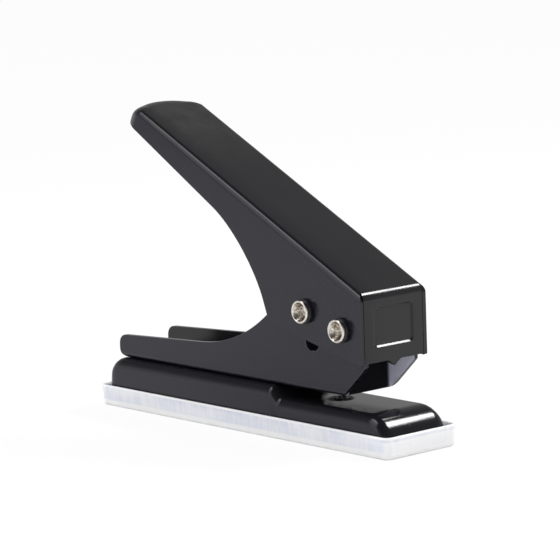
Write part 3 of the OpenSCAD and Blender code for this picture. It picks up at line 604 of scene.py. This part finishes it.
def tube(node, bore, steps, radius, numbers=(0, 1, 2, 3), turn=ALONG_Y):
    """A tube of a node's outer size, with a bore and a radius on these corners of its section."""
    outside, high = span(node).x / 2, (span(node) @ turn).z / 2
    return turned([(bore / 2, -high), (outside, -high), (outside, high), (bore / 2, high)], steps,
                  turn, middle(node), closed=True, rounds=((radius, numbers),))


def middle(node):
    """The middle of a node's box."""
    low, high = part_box(node)
    return (low + high) / 2


def span(node):
    """The sizes of a node's box."""
    low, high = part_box(node)
    return high - low


def quarter(steps):
    """Turns from zero to a right angle, in equal steps."""
    return [pi / 2 * k / steps for k in range(steps + 1)]


def banded(shape, rows, closed=True):
    """Faces between each row of corners and the next. Closed rows are loops."""
    for lower, upper in zip(rows, rows[1:]):
        for k in range(0 if closed else 1, len(lower)):
            shape.faces.new((lower[k - 1], lower[k], upper[k], upper[k - 1]))


def filled(shape, *rims):
    """Fills a flat rim of corners. Further rims are holes in it."""
    edges = [shape.edges.get(pair) or shape.edges.new(pair)
             for rim in rims for pair in zip(rim, rim[1:] + rim[:1])]
    bmesh.ops.triangle_fill(shape, edges=edges, use_beauty=True, use_dissolve=False)


def rounded(points, rounds, steps):
    """Points of a flat outline in X and Z, its corners rounded with the radii given for them."""
    shape = bmesh.new()
    corners = [shape.verts.new((x, 0, z)) for x, z in points]
    shape.faces.new(corners)
    for corner, radius in zip(corners, rounds):
        if radius:
            ends = [edge.other_vert(corner).co - corner.co for edge in corner.link_edges]
            bmesh.ops.bevel(shape, geom=[corner], offset=radius / tan(ends[0].angle(ends[1]) / 2),
                            segments=steps, profile=0.5, affect="VERTICES", material=-1)
    shape.faces.ensure_lookup_table()
    outline = [loop.vert.co.copy() for loop in shape.faces[0].loops]
    shape.free()
    return outline


class PUNCH_OT_base(Operator):
    """Presses the base: the front deck, the step and the rear deck, in black enamel"""
    bl_idname = "punch.base"
    bl_label = "Base"

    def execute(self, context):
        scene = context.scene
        enamel = black_enamel("black_enamel_base", scene.punch_finishes, ROUGH["enamel"],
                              span("base").y / 2)
        softened("base", "pressed_base", enamel, scene.punch_sheet)
        return {"FINISHED"}


class PUNCH_OT_frame(Operator):
    """Folds the frame: rails, ears, web and front wall, in black enamel"""
    bl_idname = "punch.frame"
    bl_label = "Frame"

    def execute(self, context):
        scene = context.scene
        sizes = scene.punch_sheet
        enamel = frame_enamel("black_enamel_frame", scene.punch_finishes, sizes,
                              span("frame").y / 2 - sizes.frame_sheet + sizes.slack)
        softened("frame", "folded_frame", enamel, sizes)
        return {"FINISHED"}


class PUNCH_OT_handle(Operator):
    """Folds the lever handle with its pressed front panel, in black enamel"""
    bl_idname = "punch.handle"
    bl_label = "Handle"

    fold_steps = 7
    side_steps = 14
    corner_steps = 10
    cheek_steps = 16
    panel_steps = 6
    hole_steps = 48
    panel_slope = ((0, 0), (0.2, 0.08), (0.8, 0.92), (1, 1))   # shares of its width and depth

    def execute(self, context):
        scene = context.scene
        sizes = self.sizes = scene.punch_handle
        self.half = span("handle").y / 2
        self.face_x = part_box("handle")[1].x
        self.pivot, self.drive = middle("pivot_pin"), middle("drive_pin")
        self.top = Vector((self.face_x, 0, self.pivot.z + sizes.face_rise))
        self.front_turn = pi / 2 - sizes.slope
        self.plan = self.rear_plan()
        shape = bmesh.new()
        rows = self.fold_sides(shape)
        low_row = self.skirt_tip(shape, rows[0])
        for side in (-1, 1):
            self.cut_cheek(shape, rows[0], low_row, side)
        filled(shape, rows[-1])
        self.fold_face(shape, [rows[-1][0], rows[-1][-1]])
        bmesh.ops.recalc_face_normals(shape, faces=shape.faces)
        enamel = black_enamel("black_enamel_handle", scene.punch_finishes, ROUGH["enamel"],
                              self.half, grip=sizes)
        piece = finish_piece(shape, "folded_handle", enamel, "handle", scene.punch_sheet.crease)
        wall = piece.modifiers.new("sheet", "SOLIDIFY")
        wall.thickness = sizes.sheet
        wall.offset = -1
        wall.use_even_offset = True
        tumble(piece, scene.punch_sheet)
        return {"FINISHED"}

    def on_slope(self, reach, depth, y):
        """A point at a reach along the top and a depth under it."""
        slope = self.sizes.slope
        back = Vector((-cos(slope), 0, sin(slope)))
        down = Vector((-sin(slope), 0, -cos(slope)))
        return self.top + back * reach + down * depth + Vector((0, y, 0))

    def front_reach(self, depth):
        """Reach of the front outline at a depth: the rounded corner, then the upright face."""
        fold, turn = self.sizes.front_fold, self.front_turn
        if depth >= fold * (1 - cos(turn)):
            return -depth * tan(self.sizes.slope)
        return fold * (tan(turn / 2) - sin(acos(1 - depth / fold)))

    def rear_plan(self):
        """The plan round the rear: reach, y and outward turn of each point, near side first."""
        sizes, half, steps = self.sizes, self.half, self.corner_steps
        inner = sizes.tip_round - sizes.tip_corner
        sweep = asin((half - sizes.tip_corner) / inner)
        end = sizes.reach - sizes.tip_round
        corner = end + inner * cos(sweep)
        turns = [pi / 2 - (pi / 2 - sweep) * k / steps for k in range(steps + 1)]
        arc = [(corner + sizes.tip_corner * cos(a), half - sizes.tip_corner
                + sizes.tip_corner * sin(a), a) for a in turns]
        tip = [(end + sizes.tip_round * cos(a), sizes.tip_round * sin(a), a)
               for a in (sweep * (1 - k / steps) for k in range(1, steps + 1))]
        side = [(corner * k / self.side_steps, half, pi / 2) for k in range(self.side_steps)]
        far = side + arc + tip
        return [(reach, -y, -a) for reach, y, a in far] + far[-2::-1]

    def fold_sides(self, shape):
        """The fold that runs down the near side, round the tip and back: rows from wall to top."""
        sizes = self.sizes
        rows = []
        for rise in quarter(self.fold_steps):
            row = []
            for number, (reach, y, turn) in enumerate(self.plan):
                fold = sizes.side_fold + (sizes.tip_fold - sizes.side_fold) * abs(cos(turn))
                inset, depth = fold * (1 - cos(rise)), fold * (1 - sin(rise))
                if number in (0, len(self.plan) - 1):
                    reach = self.front_reach(depth)
                row.append(shape.verts.new(self.on_slope(
                    reach - inset * cos(turn), depth, y - inset * sin(turn))))
            rows.append(row)
        banded(shape, rows, closed=False)
        return rows

    def skirt_tip(self, shape, wall_row):
        """The short skirt round the tip, under the fold: its lower row, in line with the elbow."""
        sizes = self.sizes
        slant = (sizes.elbow_depth - sizes.tip_depth) / (sizes.reach - sizes.elbow_reach)
        bent = [(corner, spot) for corner, spot in zip(wall_row, self.plan)
                if abs(spot[2]) < pi / 2 or spot[0] > sizes.skirt_start]
        low = [shape.verts.new(self.on_slope(
            reach, sizes.tip_depth + slant * (sizes.reach - reach), y)) for _, (reach, y, _) in bent]
        banded(shape, [[corner for corner, _ in bent], low], closed=False)
        self.skirt_first = wall_row.index(bent[0][0])
        return low

    def cut_cheek(self, shape, wall_row, low_row, side):
        """A flat cheek between the fold, the front edge and the lower edge, with its pin holes."""
        sizes = self.sizes
        near = side < 0
        top = wall_row[:self.skirt_first + 1] if near else wall_row[-self.skirt_first - 1:][::-1]
        tip = low_row[0] if near else low_row[-1]
        y, low_z = side * self.half, self.pivot.z - sizes.cheek_drop
        elbow = self.on_slope(sizes.elbow_reach, sizes.elbow_depth, y)
        heel = (self.drive.x - sizes.heel_back, low_z + sizes.heel_up)
        ends = [Vector((end.co.x, 0, end.co.z)) for end in (top[0], tip)]
        outline = rounded([(ends[0].x, ends[0].z), (ends[1].x, ends[1].z), (elbow.x, elbow.z), heel,
                           (self.face_x, low_z)],
                          (0, 0, sizes.elbow_round, sizes.heel_round, sizes.heel_round / 2),
                          self.cheek_steps)
        gaps = [(p - ends[1]).length for p in outline]
        first = gaps.index(min(gaps))
        lower = [shape.verts.new((p.x, y, p.z)) for p in outline[first + 1:] + outline[:first]
                 if (p - ends[0]).length > SAME_SPOT]
        holes = [bmesh.ops.create_circle(
            shape, segments=self.hole_steps, radius=sizes.pin_hole / 2,
            matrix=Matrix.Translation((pin.x, y, pin.z)) @ ALONG_Y.to_4x4())["verts"]
            for pin in (self.pivot, self.drive)]
        filled(shape, top + [tip] + lower, *holes)

    def fold_face(self, shape, row):
        """The front face with its panel and tab, folded down from the top's front corners."""
        sizes = self.sizes
        wide = self.half - sizes.sheet - sizes.seam
        start = abs(row[0].co.y)
        for k in range(1, self.fold_steps + 1):
            turn = self.front_turn * k / self.fold_steps
            depth = sizes.front_fold * (1 - cos(turn))
            y = start + (wide - start) * min(1, 2 * k / self.fold_steps)
            reach = sizes.front_fold * (tan(self.front_turn / 2) - sin(turn))
            new = [shape.verts.new(self.on_slope(reach, depth, side * y)) for side in (-1, 1)]
            shape.faces.new((row[0], row[1], new[1], new[0]))
            row = new
        low, tab = self.pivot.z - sizes.face_drop, sizes.tab_wide / 2
        rim = row + [shape.verts.new((self.face_x, y, z)) for y, z in (
            (wide, low), (tab, low), (0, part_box("handle")[0].z), (-tab, low), (-wide, low))]
        loops = [self.panel_loop(shape, inset * sizes.panel_edge, sunk * sizes.panel_deep)
                 for inset, sunk in self.panel_slope]
        filled(shape, rim, loops[0])
        banded(shape, loops)
        shape.faces.new(loops[-1])

    def panel_loop(self, shape, inset, sunk):
        """A loop of corners round the panel, inset from its outline and sunk into the face."""
        sizes = self.sizes
        y, z = sizes.panel_wide / 2 - inset, sizes.panel_high / 2 - inset
        radius = max(sizes.panel_round - inset, sizes.panel_round / 4)
        outline = rounded([(-y, -z), (y, -z), (y, z), (-y, z)], [radius] * 4, self.panel_steps)
        middle_z = self.pivot.z + sizes.panel_up
        return [shape.verts.new((self.face_x - sunk, p.x, middle_z + p.z)) for p in outline]


class PUNCH_OT_tray(Operator):
    """Moulds the clear chip tray round the base's foot"""
    bl_idname = "punch.tray"
    bl_label = "Chip tray"

    corner_steps = 10
    round_steps = 5
    even_weight = 50

    def execute(self, context):
        scene = context.scene
        sizes = scene.punch_tray
        shape = bmesh.new()
        loops = [self.loop(shape, inset, z, sizes.corner, end)
                 for inset, z, end in self.section(sizes)]
        banded(shape, loops)
        shape.faces.new(loops[0])
        shape.faces.new(loops[-1])
        bmesh.ops.recalc_face_normals(shape, faces=shape.faces)
        plastic = clear_plastic("clear_plastic", scene.punch_finishes, sizes.ledge_top,
                                span("chip_tray"))
        piece = finish_piece(shape, "moulded_tray", plastic, "chip_tray", SOFT_CREASE)
        shade_evenly(piece, self.even_weight)
        return {"FINISHED"}

    def section(self, sizes):
        """The wall's section from the outer bottom to the floor.

        Each point has its inset from the lip, its height, and a further inset at the tray's ends,
        where a stop fills the gap to the base's foot.
        """
        high, lean = span("chip_tray").z, tan(sizes.lean)
        turns = quarter(self.round_steps)
        low = [(lean * (high - sizes.low_round) + sizes.low_round * (1 - sin(a)),
                sizes.low_round * (1 - cos(a))) for a in turns]
        lip = [(sizes.lip_round * (1 - cos(a)), high - sizes.lip_round * (1 - sin(a)))
               for a in turns]
        back = [(sizes.wall - inset, z) for inset, z in reversed(lip)]
        stop, ledge = (sizes.wall + lean * (high - z) for z in (sizes.stop_top, sizes.ledge_top))
        hollow, end = ledge + sizes.ledge_wide, sizes.stop_long
        return [(inset, z, 0) for inset, z in low + lip + back] + [
            (stop, sizes.stop_top, 0), (stop + sizes.stop_side, sizes.stop_top, end),
            (ledge, sizes.ledge_top, end), (hollow, sizes.ledge_top, end),
            (hollow + lean * (sizes.ledge_top - sizes.floor), sizes.floor, end)]

    def loop(self, shape, inset, z, corner, end):
        """A loop of corners round the tray, inset from the lip's outline."""
        half, centre = span("chip_tray") / 2, middle("chip_tray")
        x, y = half.x - corner, half.y - corner
        radius = max(corner - inset, corner / 8)
        shrink = max(inset - (corner - radius), 0)
        spots = []
        for number, (across, along) in enumerate(((1, 1), (-1, 1), (-1, -1), (1, -1))):
            for k in range(self.corner_steps + 1):
                turn = pi / 2 * (number + k / self.corner_steps)
                spots.append((centre.x + across * (x - shrink - end) + radius * cos(turn),
                              centre.y + along * (y - shrink) + radius * sin(turn), z))
        return [shape.verts.new(spot) for spot in spots]


class PUNCH_OT_pins(Operator):
    """Turns the two pins and rolls their cupped heads"""
    bl_idname = "punch.pins"
    bl_label = "Pins"

    def execute(self, context):
        sizes, colours = context.scene.punch_pins, context.scene.punch_finishes
        for node, pip in (("pivot_pin", sizes.pip_high), ("drive_pin", 0)):
            end, head, cup = span(node).y / 2, span(node).x / 2, sizes.cup_wide / 2
            floor, under = end - sizes.cup_deep, end - sizes.head_high
            half = [(0, floor + pip), (sizes.pip_wide / 2, floor + pip / 2),
                    (sizes.floor_wide / 2, floor),
                    (cup - sizes.lip_round / 2, end - sizes.lip_round), (cup, end),
                    (head, end), (head, under), (sizes.shank / 2, under)]
            rounds = (sizes.lip_round, (5, 10)), (sizes.lip_round / 3, (4, 6, 9, 11))
            shape = turned(half + [(r, -h) for r, h in reversed(half)], TURN_STEPS["pin"],
                           ALONG_Y, middle(node), rounds=rounds)
            plating = turned_steel("plating_" + node, colours.plate, colours.plate_old,
                                   middle(node), ROUGH["plating"], (1, 0, 1), cup)
            finish_piece(shape, "rolled_" + node, plating, node)
        return {"FINISHED"}


class PUNCH_OT_washers(Operator):
    """Makes the spacer tube and the washers on the pins, and the washer under the spring"""
    bl_idname = "punch.washers"
    bl_label = "Washers and spacer"

    def execute(self, context):
        sizes, colours = context.scene.punch_pins, context.scene.punch_finishes
        node = "pivot_spacer"
        steel = turned_steel("spacer_steel", colours.tool, colours.wire, middle(node),
                             ROUGH["spacer"], (1, 0, 1))
        shape = tube(node, sizes.spacer_bore, TURN_STEPS["washer"], 2 * sizes.washer_round)
        finish_piece(shape, "cut_spacer", steel, node)
        steel = plain_steel("washer_steel", colours.plate, colours.tool, ROUGH["washer"])
        rows = [(place.format("washer"), sizes.washer_bore, ALONG_Y) for place in ON_PINS]
        rows.append(("spring_seat_washer", context.scene.punch_tools.bush_neck, UPRIGHT))
        for node, bore, turn in rows:
            shape = tube(node, bore, TURN_STEPS["washer"], sizes.washer_round, turn=turn)
            finish_piece(shape, "stamped_" + node, steel, node)
        return {"FINISHED"}


class PUNCH_OT_rings(Operator):
    """Moulds the black rings under the pins' heads"""
    bl_idname = "punch.rings"
    bl_label = "Rings"

    def execute(self, context):
        sizes = context.scene.punch_pins
        black = moulded_black("black_ring", context.scene.punch_finishes)
        for place in ON_PINS:
            node = place.format("ring")
            shape = tube(node, sizes.ring_bore, TURN_STEPS["ring"], sizes.ring_round, (1, 2))
            finish_piece(shape, "moulded_" + node, black, node)
        return {"FINISHED"}


class PUNCH_OT_rivets(Operator):
    """Closes the two rivets that hold the frame to the base"""
    bl_idname = "punch.rivets"
    bl_label = "Rivets"

    dome_steps = 8

    def execute(self, context):
        tools = context.scene.punch_tools
        enamel = black_enamel("black_enamel_rivets", context.scene.punch_finishes,
                              ROUGH["rivet"], span("base").y / 2)
        for node in ("rear_rivet", "front_rivet"):
            low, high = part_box(node)
            head, shank = span(node).x / 2, tools.rivet_shank / 2
            tail = (head + shank) / 2
            foot, eaves = low.z + tools.rivet_tail, high.z - tools.rivet_dome
            dome = [(head * cos(a), eaves + tools.rivet_dome * sin(a))
                    for a in quarter(self.dome_steps)[:-1]]
            shape = turned([(0, low.z), (tail, low.z), (tail, foot), (shank, foot), (shank, eaves),
                            *dome, (0, high.z)], TURN_STEPS["rivet"], centre=(middle(node).x, 0, 0),
                           rounds=((tools.tail_round, (1,)),))
            finish_piece(shape, "closed_" + node, enamel, node)
        return {"FINISHED"}


class PUNCH_OT_die(Operator):
    """Turns the die that shows as a ring in the front deck, and the punch's guide bush"""
    bl_idname = "punch.die"
    bl_label = "Die and bush"

    def execute(self, context):
        tools, colours = context.scene.punch_tools, context.scene.punch_finishes
        centre = (middle("die_ring").x, 0, 0)
        low, high = (corner.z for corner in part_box("die_ring"))
        bore, rim, out = tools.die_bore / 2, tools.die_rim / 2, span("die_ring").x / 2
        wider, shoulder = bore + tools.die_relief, low + tools.die_flange
        die = [(bore, high), (bore, high - tools.die_land), (wider, high - 2 * tools.die_land),
               (wider, low), (out, low), (out, shoulder), (rim, shoulder), (rim, high)]
        steel = turned_steel("die_steel", colours.tool, colours.enamel_high, centre, ROUGH["die"])
        shape = turned(die, TURN_STEPS["die"], centre=centre, closed=True, rounds=(
            (tools.die_mouth, (0,)), (tools.die_edge, (7,)), (tools.die_foot, (4, 5))))
        finish_piece(shape, "turned_die", steel, "die_ring")

        low, high = (corner.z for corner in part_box("guide_bush"))
        bore, neck, out = tools.bush_bore / 2, tools.bush_neck / 2, span("guide_bush").x / 2
        step, top = low + tools.bush_step, low + tools.bush_flange
        bush = [(bore, low), (neck, low), (neck, step), (out, step), (out, top), (neck, top),
                (neck, high), (bore, high)]
        steel = turned_steel("bush_steel", colours.tool, colours.wire, centre, ROUGH["bush"])
        shape = turned(bush, TURN_STEPS["bush"], centre=centre, closed=True, rounds=(
            (tools.bush_round, (3, 4, 6)), (tools.bush_mouth, (0, 7))))
        finish_piece(shape, "turned_bush", steel, "guide_bush")
        return {"FINISHED"}


class PUNCH_OT_punch(Operator):
    """Grinds the punch and finishes its head and lock pin"""
    bl_idname = "punch.punch"
    bl_label = "Punch"

    def execute(self, context):
        scene = context.scene
        colours = scene.punch_finishes
        centre = (middle("punch").x, 0, 0)
        for node, name in (("punch", "ground_punch"), ("punch_head", "turned_punch_head"),
                           ("punch_lock_pin", "pressed_lock_pin")):
            steel = turned_steel("steel_" + node, colours.tool, colours.wire, centre,
                                 ROUGH["punch"])
            softened(node, name, steel, scene.punch_sheet, scene.punch_tools.ground_round)
        return {"FINISHED"}


class PUNCH_OT_spring(Operator):
    """Winds the return spring with closed ends"""
    bl_idname = "punch.spring"
    bl_label = "Return spring"

    turn_steps = 30
    wire_sides = 12

    def execute(self, context):
        tools, colours = context.scene.punch_tools, context.scene.punch_finishes
        node = "return_spring"
        low, high = (corner.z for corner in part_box(node))
        centre = middle(node)
        count = round(tools.turns * self.turn_steps)
        spots = [self.spot(tools, k / self.turn_steps, low, high) for k in range(count + 1)]
        shape = bmesh.new()
        rings = []
        for number, spot in enumerate(spots):
            before, after = spots[max(number - 1, 0)], spots[min(number + 1, count)]
            outward = Vector((spot.x, spot.y, 0)).normalized()
            up = (after - before).normalized().cross(outward)
            rings.append([shape.verts.new(
                Vector((centre.x, centre.y, 0)) + spot
                + tools.wire / 2 * (cos(a) * outward + sin(a) * up))
                for a in (tau * k / self.wire_sides for k in range(self.wire_sides))])
        banded(shape, rings)
        shape.faces.new(rings[0])
        shape.faces.new(rings[-1])
        bmesh.ops.recalc_face_normals(shape, faces=shape.faces)
        wire = plain_steel("spring_steel", colours.wire, colours.tool, ROUGH["wire"])
        piece = finish_piece(shape, "wound_return_spring", wire, node, SOFT_CREASE)
        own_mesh(piece)
        return {"FINISHED"}

    def spot(self, tools, turn, low, high):
        """The wire's middle after a number of turns: close at the ends, open between them."""
        coil = (span("return_spring").y - tools.wire) / 2
        close = min(turn, tools.closed) + max(turn - (tools.turns - tools.closed), 0)
        opened = min(max(turn - tools.closed, 0), tools.turns - 2 * tools.closed)
        rise = high - low - tools.wire - 2 * tools.closed * tools.close_pitch
        pitch = rise / (tools.turns - 2 * tools.closed)
        return Vector((coil * cos(tau * turn), coil * sin(tau * turn),
                       low + tools.wire / 2 + close * tools.close_pitch + opened * pitch))


class PUNCH_OT_stage(Operator):
    """Sets the floor, the sky, the lamps and the camera"""
    bl_idname = "punch.stage"
    bl_label = "Stage"

    clip = (0.01, 20)   # metres from the camera

    def execute(self, context):
        scene = context.scene
        stage = scene.punch_stage
        self.lay_floor(scene, stage)
        self.light_sky(scene, stage)
        for lamp in ("key", "top", "mid", "side"):
            self.hang_lamp(scene, stage, lamp)
        self.set_camera(scene, stage)
        scene.view_settings.view_transform = "Standard"
        return {"FINISHED"}

    def lay_floor(self, scene, stage):
        """A pale floor that the camera sees as near white, with the object's shadow on it."""
        shape = bmesh.new()
        bmesh.ops.create_grid(shape, x_segments=2, y_segments=2, size=stage.floor_wide / 2)
        mesh = bpy.data.meshes.new("floor")
        shape.to_mesh(mesh)
        shape.free()
        pale = Finish("pale_floor")
        seen = pale.node("ShaderNodeLightPath", {}, {}, "Is Camera Ray")
        matt = pale.node("ShaderNodeBsdfDiffuse", {}, {"Color": (*[stage.floor_tone] * 3, 1)})
        white = pale.node("ShaderNodeEmission", {}, {"Color": (1, 1, 1, 1), "Strength": 1})
        mesh.materials.append(pale.closed(pale.node("ShaderNodeMixShader", {}, {
            0: seen * stage.floor_white, 1: matt, 2: white})))
        floor = bpy.data.objects.new("floor", mesh)
        scene.collection.objects.link(floor)

    def light_sky(self, scene, stage):
        """Even light all round, which gloss sees as pale walls under a dark ceiling."""
        sky = Finish("sky", bpy.data.worlds.new("sky"))
        seen, mirrored, through = (sky.node("ShaderNodeLightPath", {}, {}, f"Is {ray} Ray")
                                   for ray in ("Camera", "Glossy", "Transmission"))
        towards = sky.node("ShaderNodeTexCoord", {}, {}, "Generated")
        rise, across = (sky.node("ShaderNodeSeparateXYZ", {}, {"Vector": towards}, axis)
                        for axis in "ZY")
        near = sky.ramp(rise, (0, 1), (0.12, 1), (0.35, 0.45), (0.6, 0.2), (0.9, 0.05))
        far = sky.ramp(rise, (0, 0.5), (0.2, 0.48), (0.6, 0.33), (0.8, 0.17), (0.95, 0.08))
        side = sky.ramp(across * 0.5 + 0.5, (0.45, 0), (0.7, 1))
        wall = near + side * (far - near)
        white = sky.maths("MAXIMUM", seen, through)
        level = white + (1 - white) * (mirrored * wall + (1 - mirrored) * stage.sky)
        scene.world = sky.closed(sky.node("ShaderNodeBackground", {}, {
            "Color": (1, 1, 1, 1), "Strength": level}), "World")

    def hang_lamp(self, scene, stage, name):
        """A soft oblong lamp that faces the object."""
        lamp = bpy.data.lights.new(name + "_lamp", "AREA")
        lamp.shape = "RECTANGLE"
        lamp.size, lamp.size_y = getattr(stage, name + "_size")
        lamp.energy = getattr(stage, name)
        holder = bpy.data.objects.new(name + "_lamp", lamp)
        back = Vector(getattr(stage, name + "_from")).normalized()
        holder.matrix_world = Matrix.Translation(
            Vector(stage.aim) + back * stage.lamp_away) @ back.to_track_quat(
            "Z", "Y").to_matrix().to_4x4()
        scene.collection.objects.link(holder)

    def set_camera(self, scene, stage):
        """The camera at the photograph's angle."""
        turn, rise = stage.azimuth, stage.elevation
        back = Vector((sin(turn) * cos(rise), -cos(turn) * cos(rise), sin(rise)))
        right = Vector((cos(turn), sin(turn), 0))
        facing = Matrix((right, back.cross(right), back)).transposed()
        camera = bpy.data.cameras.new("camera")
        camera.sensor_width, camera.lens = stage.sensor, stage.lens
        camera.clip_start, camera.clip_end = self.clip
        holder = bpy.data.objects.new("camera", camera)
        facing = facing @ Matrix.Rotation(stage.roll, 3, "Z")
        holder.matrix_world = Matrix.Translation(
            Vector(stage.aim) + back * stage.distance) @ facing.to_4x4()
        scene.collection.objects.link(holder)
        scene.camera = holder


OPERATORS = (PUNCH_OT_stage, PUNCH_OT_base, PUNCH_OT_tray, PUNCH_OT_frame, PUNCH_OT_rivets,
             PUNCH_OT_die, PUNCH_OT_spring, PUNCH_OT_punch, PUNCH_OT_washers, PUNCH_OT_handle,
             PUNCH_OT_rings, PUNCH_OT_pins)
GROUPS = {"punch_sheet": SheetSizes, "punch_handle": HandleSizes, "punch_tray": TraySizes,
          "punch_pins": PinSizes, "punch_tools": PunchSizes,
          "punch_finishes": Finishes, "punch_stage": StageSizes}


class PUNCH_PT_pieces(Panel):
    """Lists the pieces in the order in which they are built"""
    bl_idname = "PUNCH_PT_pieces"
    bl_label = "Hole punch"
    bl_space_type = "VIEW_3D"
    bl_region_type = "UI"
    bl_category = "Hole punch"

    def draw(self, context):
        for operator in OPERATORS:
            self.layout.operator(operator.bl_idname)
        for name in GROUPS:
            sizes = getattr(context.scene, name)
            box = self.layout.box()
            for prop in sizes.bl_rna.properties:
                if not prop.is_readonly and prop.identifier != "name":
                    box.prop(sizes, prop.identifier)


def register():
    for name, group in GROUPS.items():
        bpy.utils.register_class(group)
        setattr(bpy.types.Scene, name, PointerProperty(type=group))
    for operator in OPERATORS:
        bpy.utils.register_class(operator)
    bpy.utils.register_class(PUNCH_PT_pieces)


def unregister():
    bpy.utils.unregister_class(PUNCH_PT_pieces)
    for operator in reversed(OPERATORS):
        bpy.utils.unregister_class(operator)
    for name, group in GROUPS.items():
        delattr(bpy.types.Scene, name)
        bpy.utils.unregister_class(group)


def main():
    """Builds every piece in order."""
    register()
    for operator in OPERATORS:
        group, name = operator.bl_idname.split(".")
        getattr(getattr(bpy.ops, group), name)()


if __name__ == "__main__":
    main()
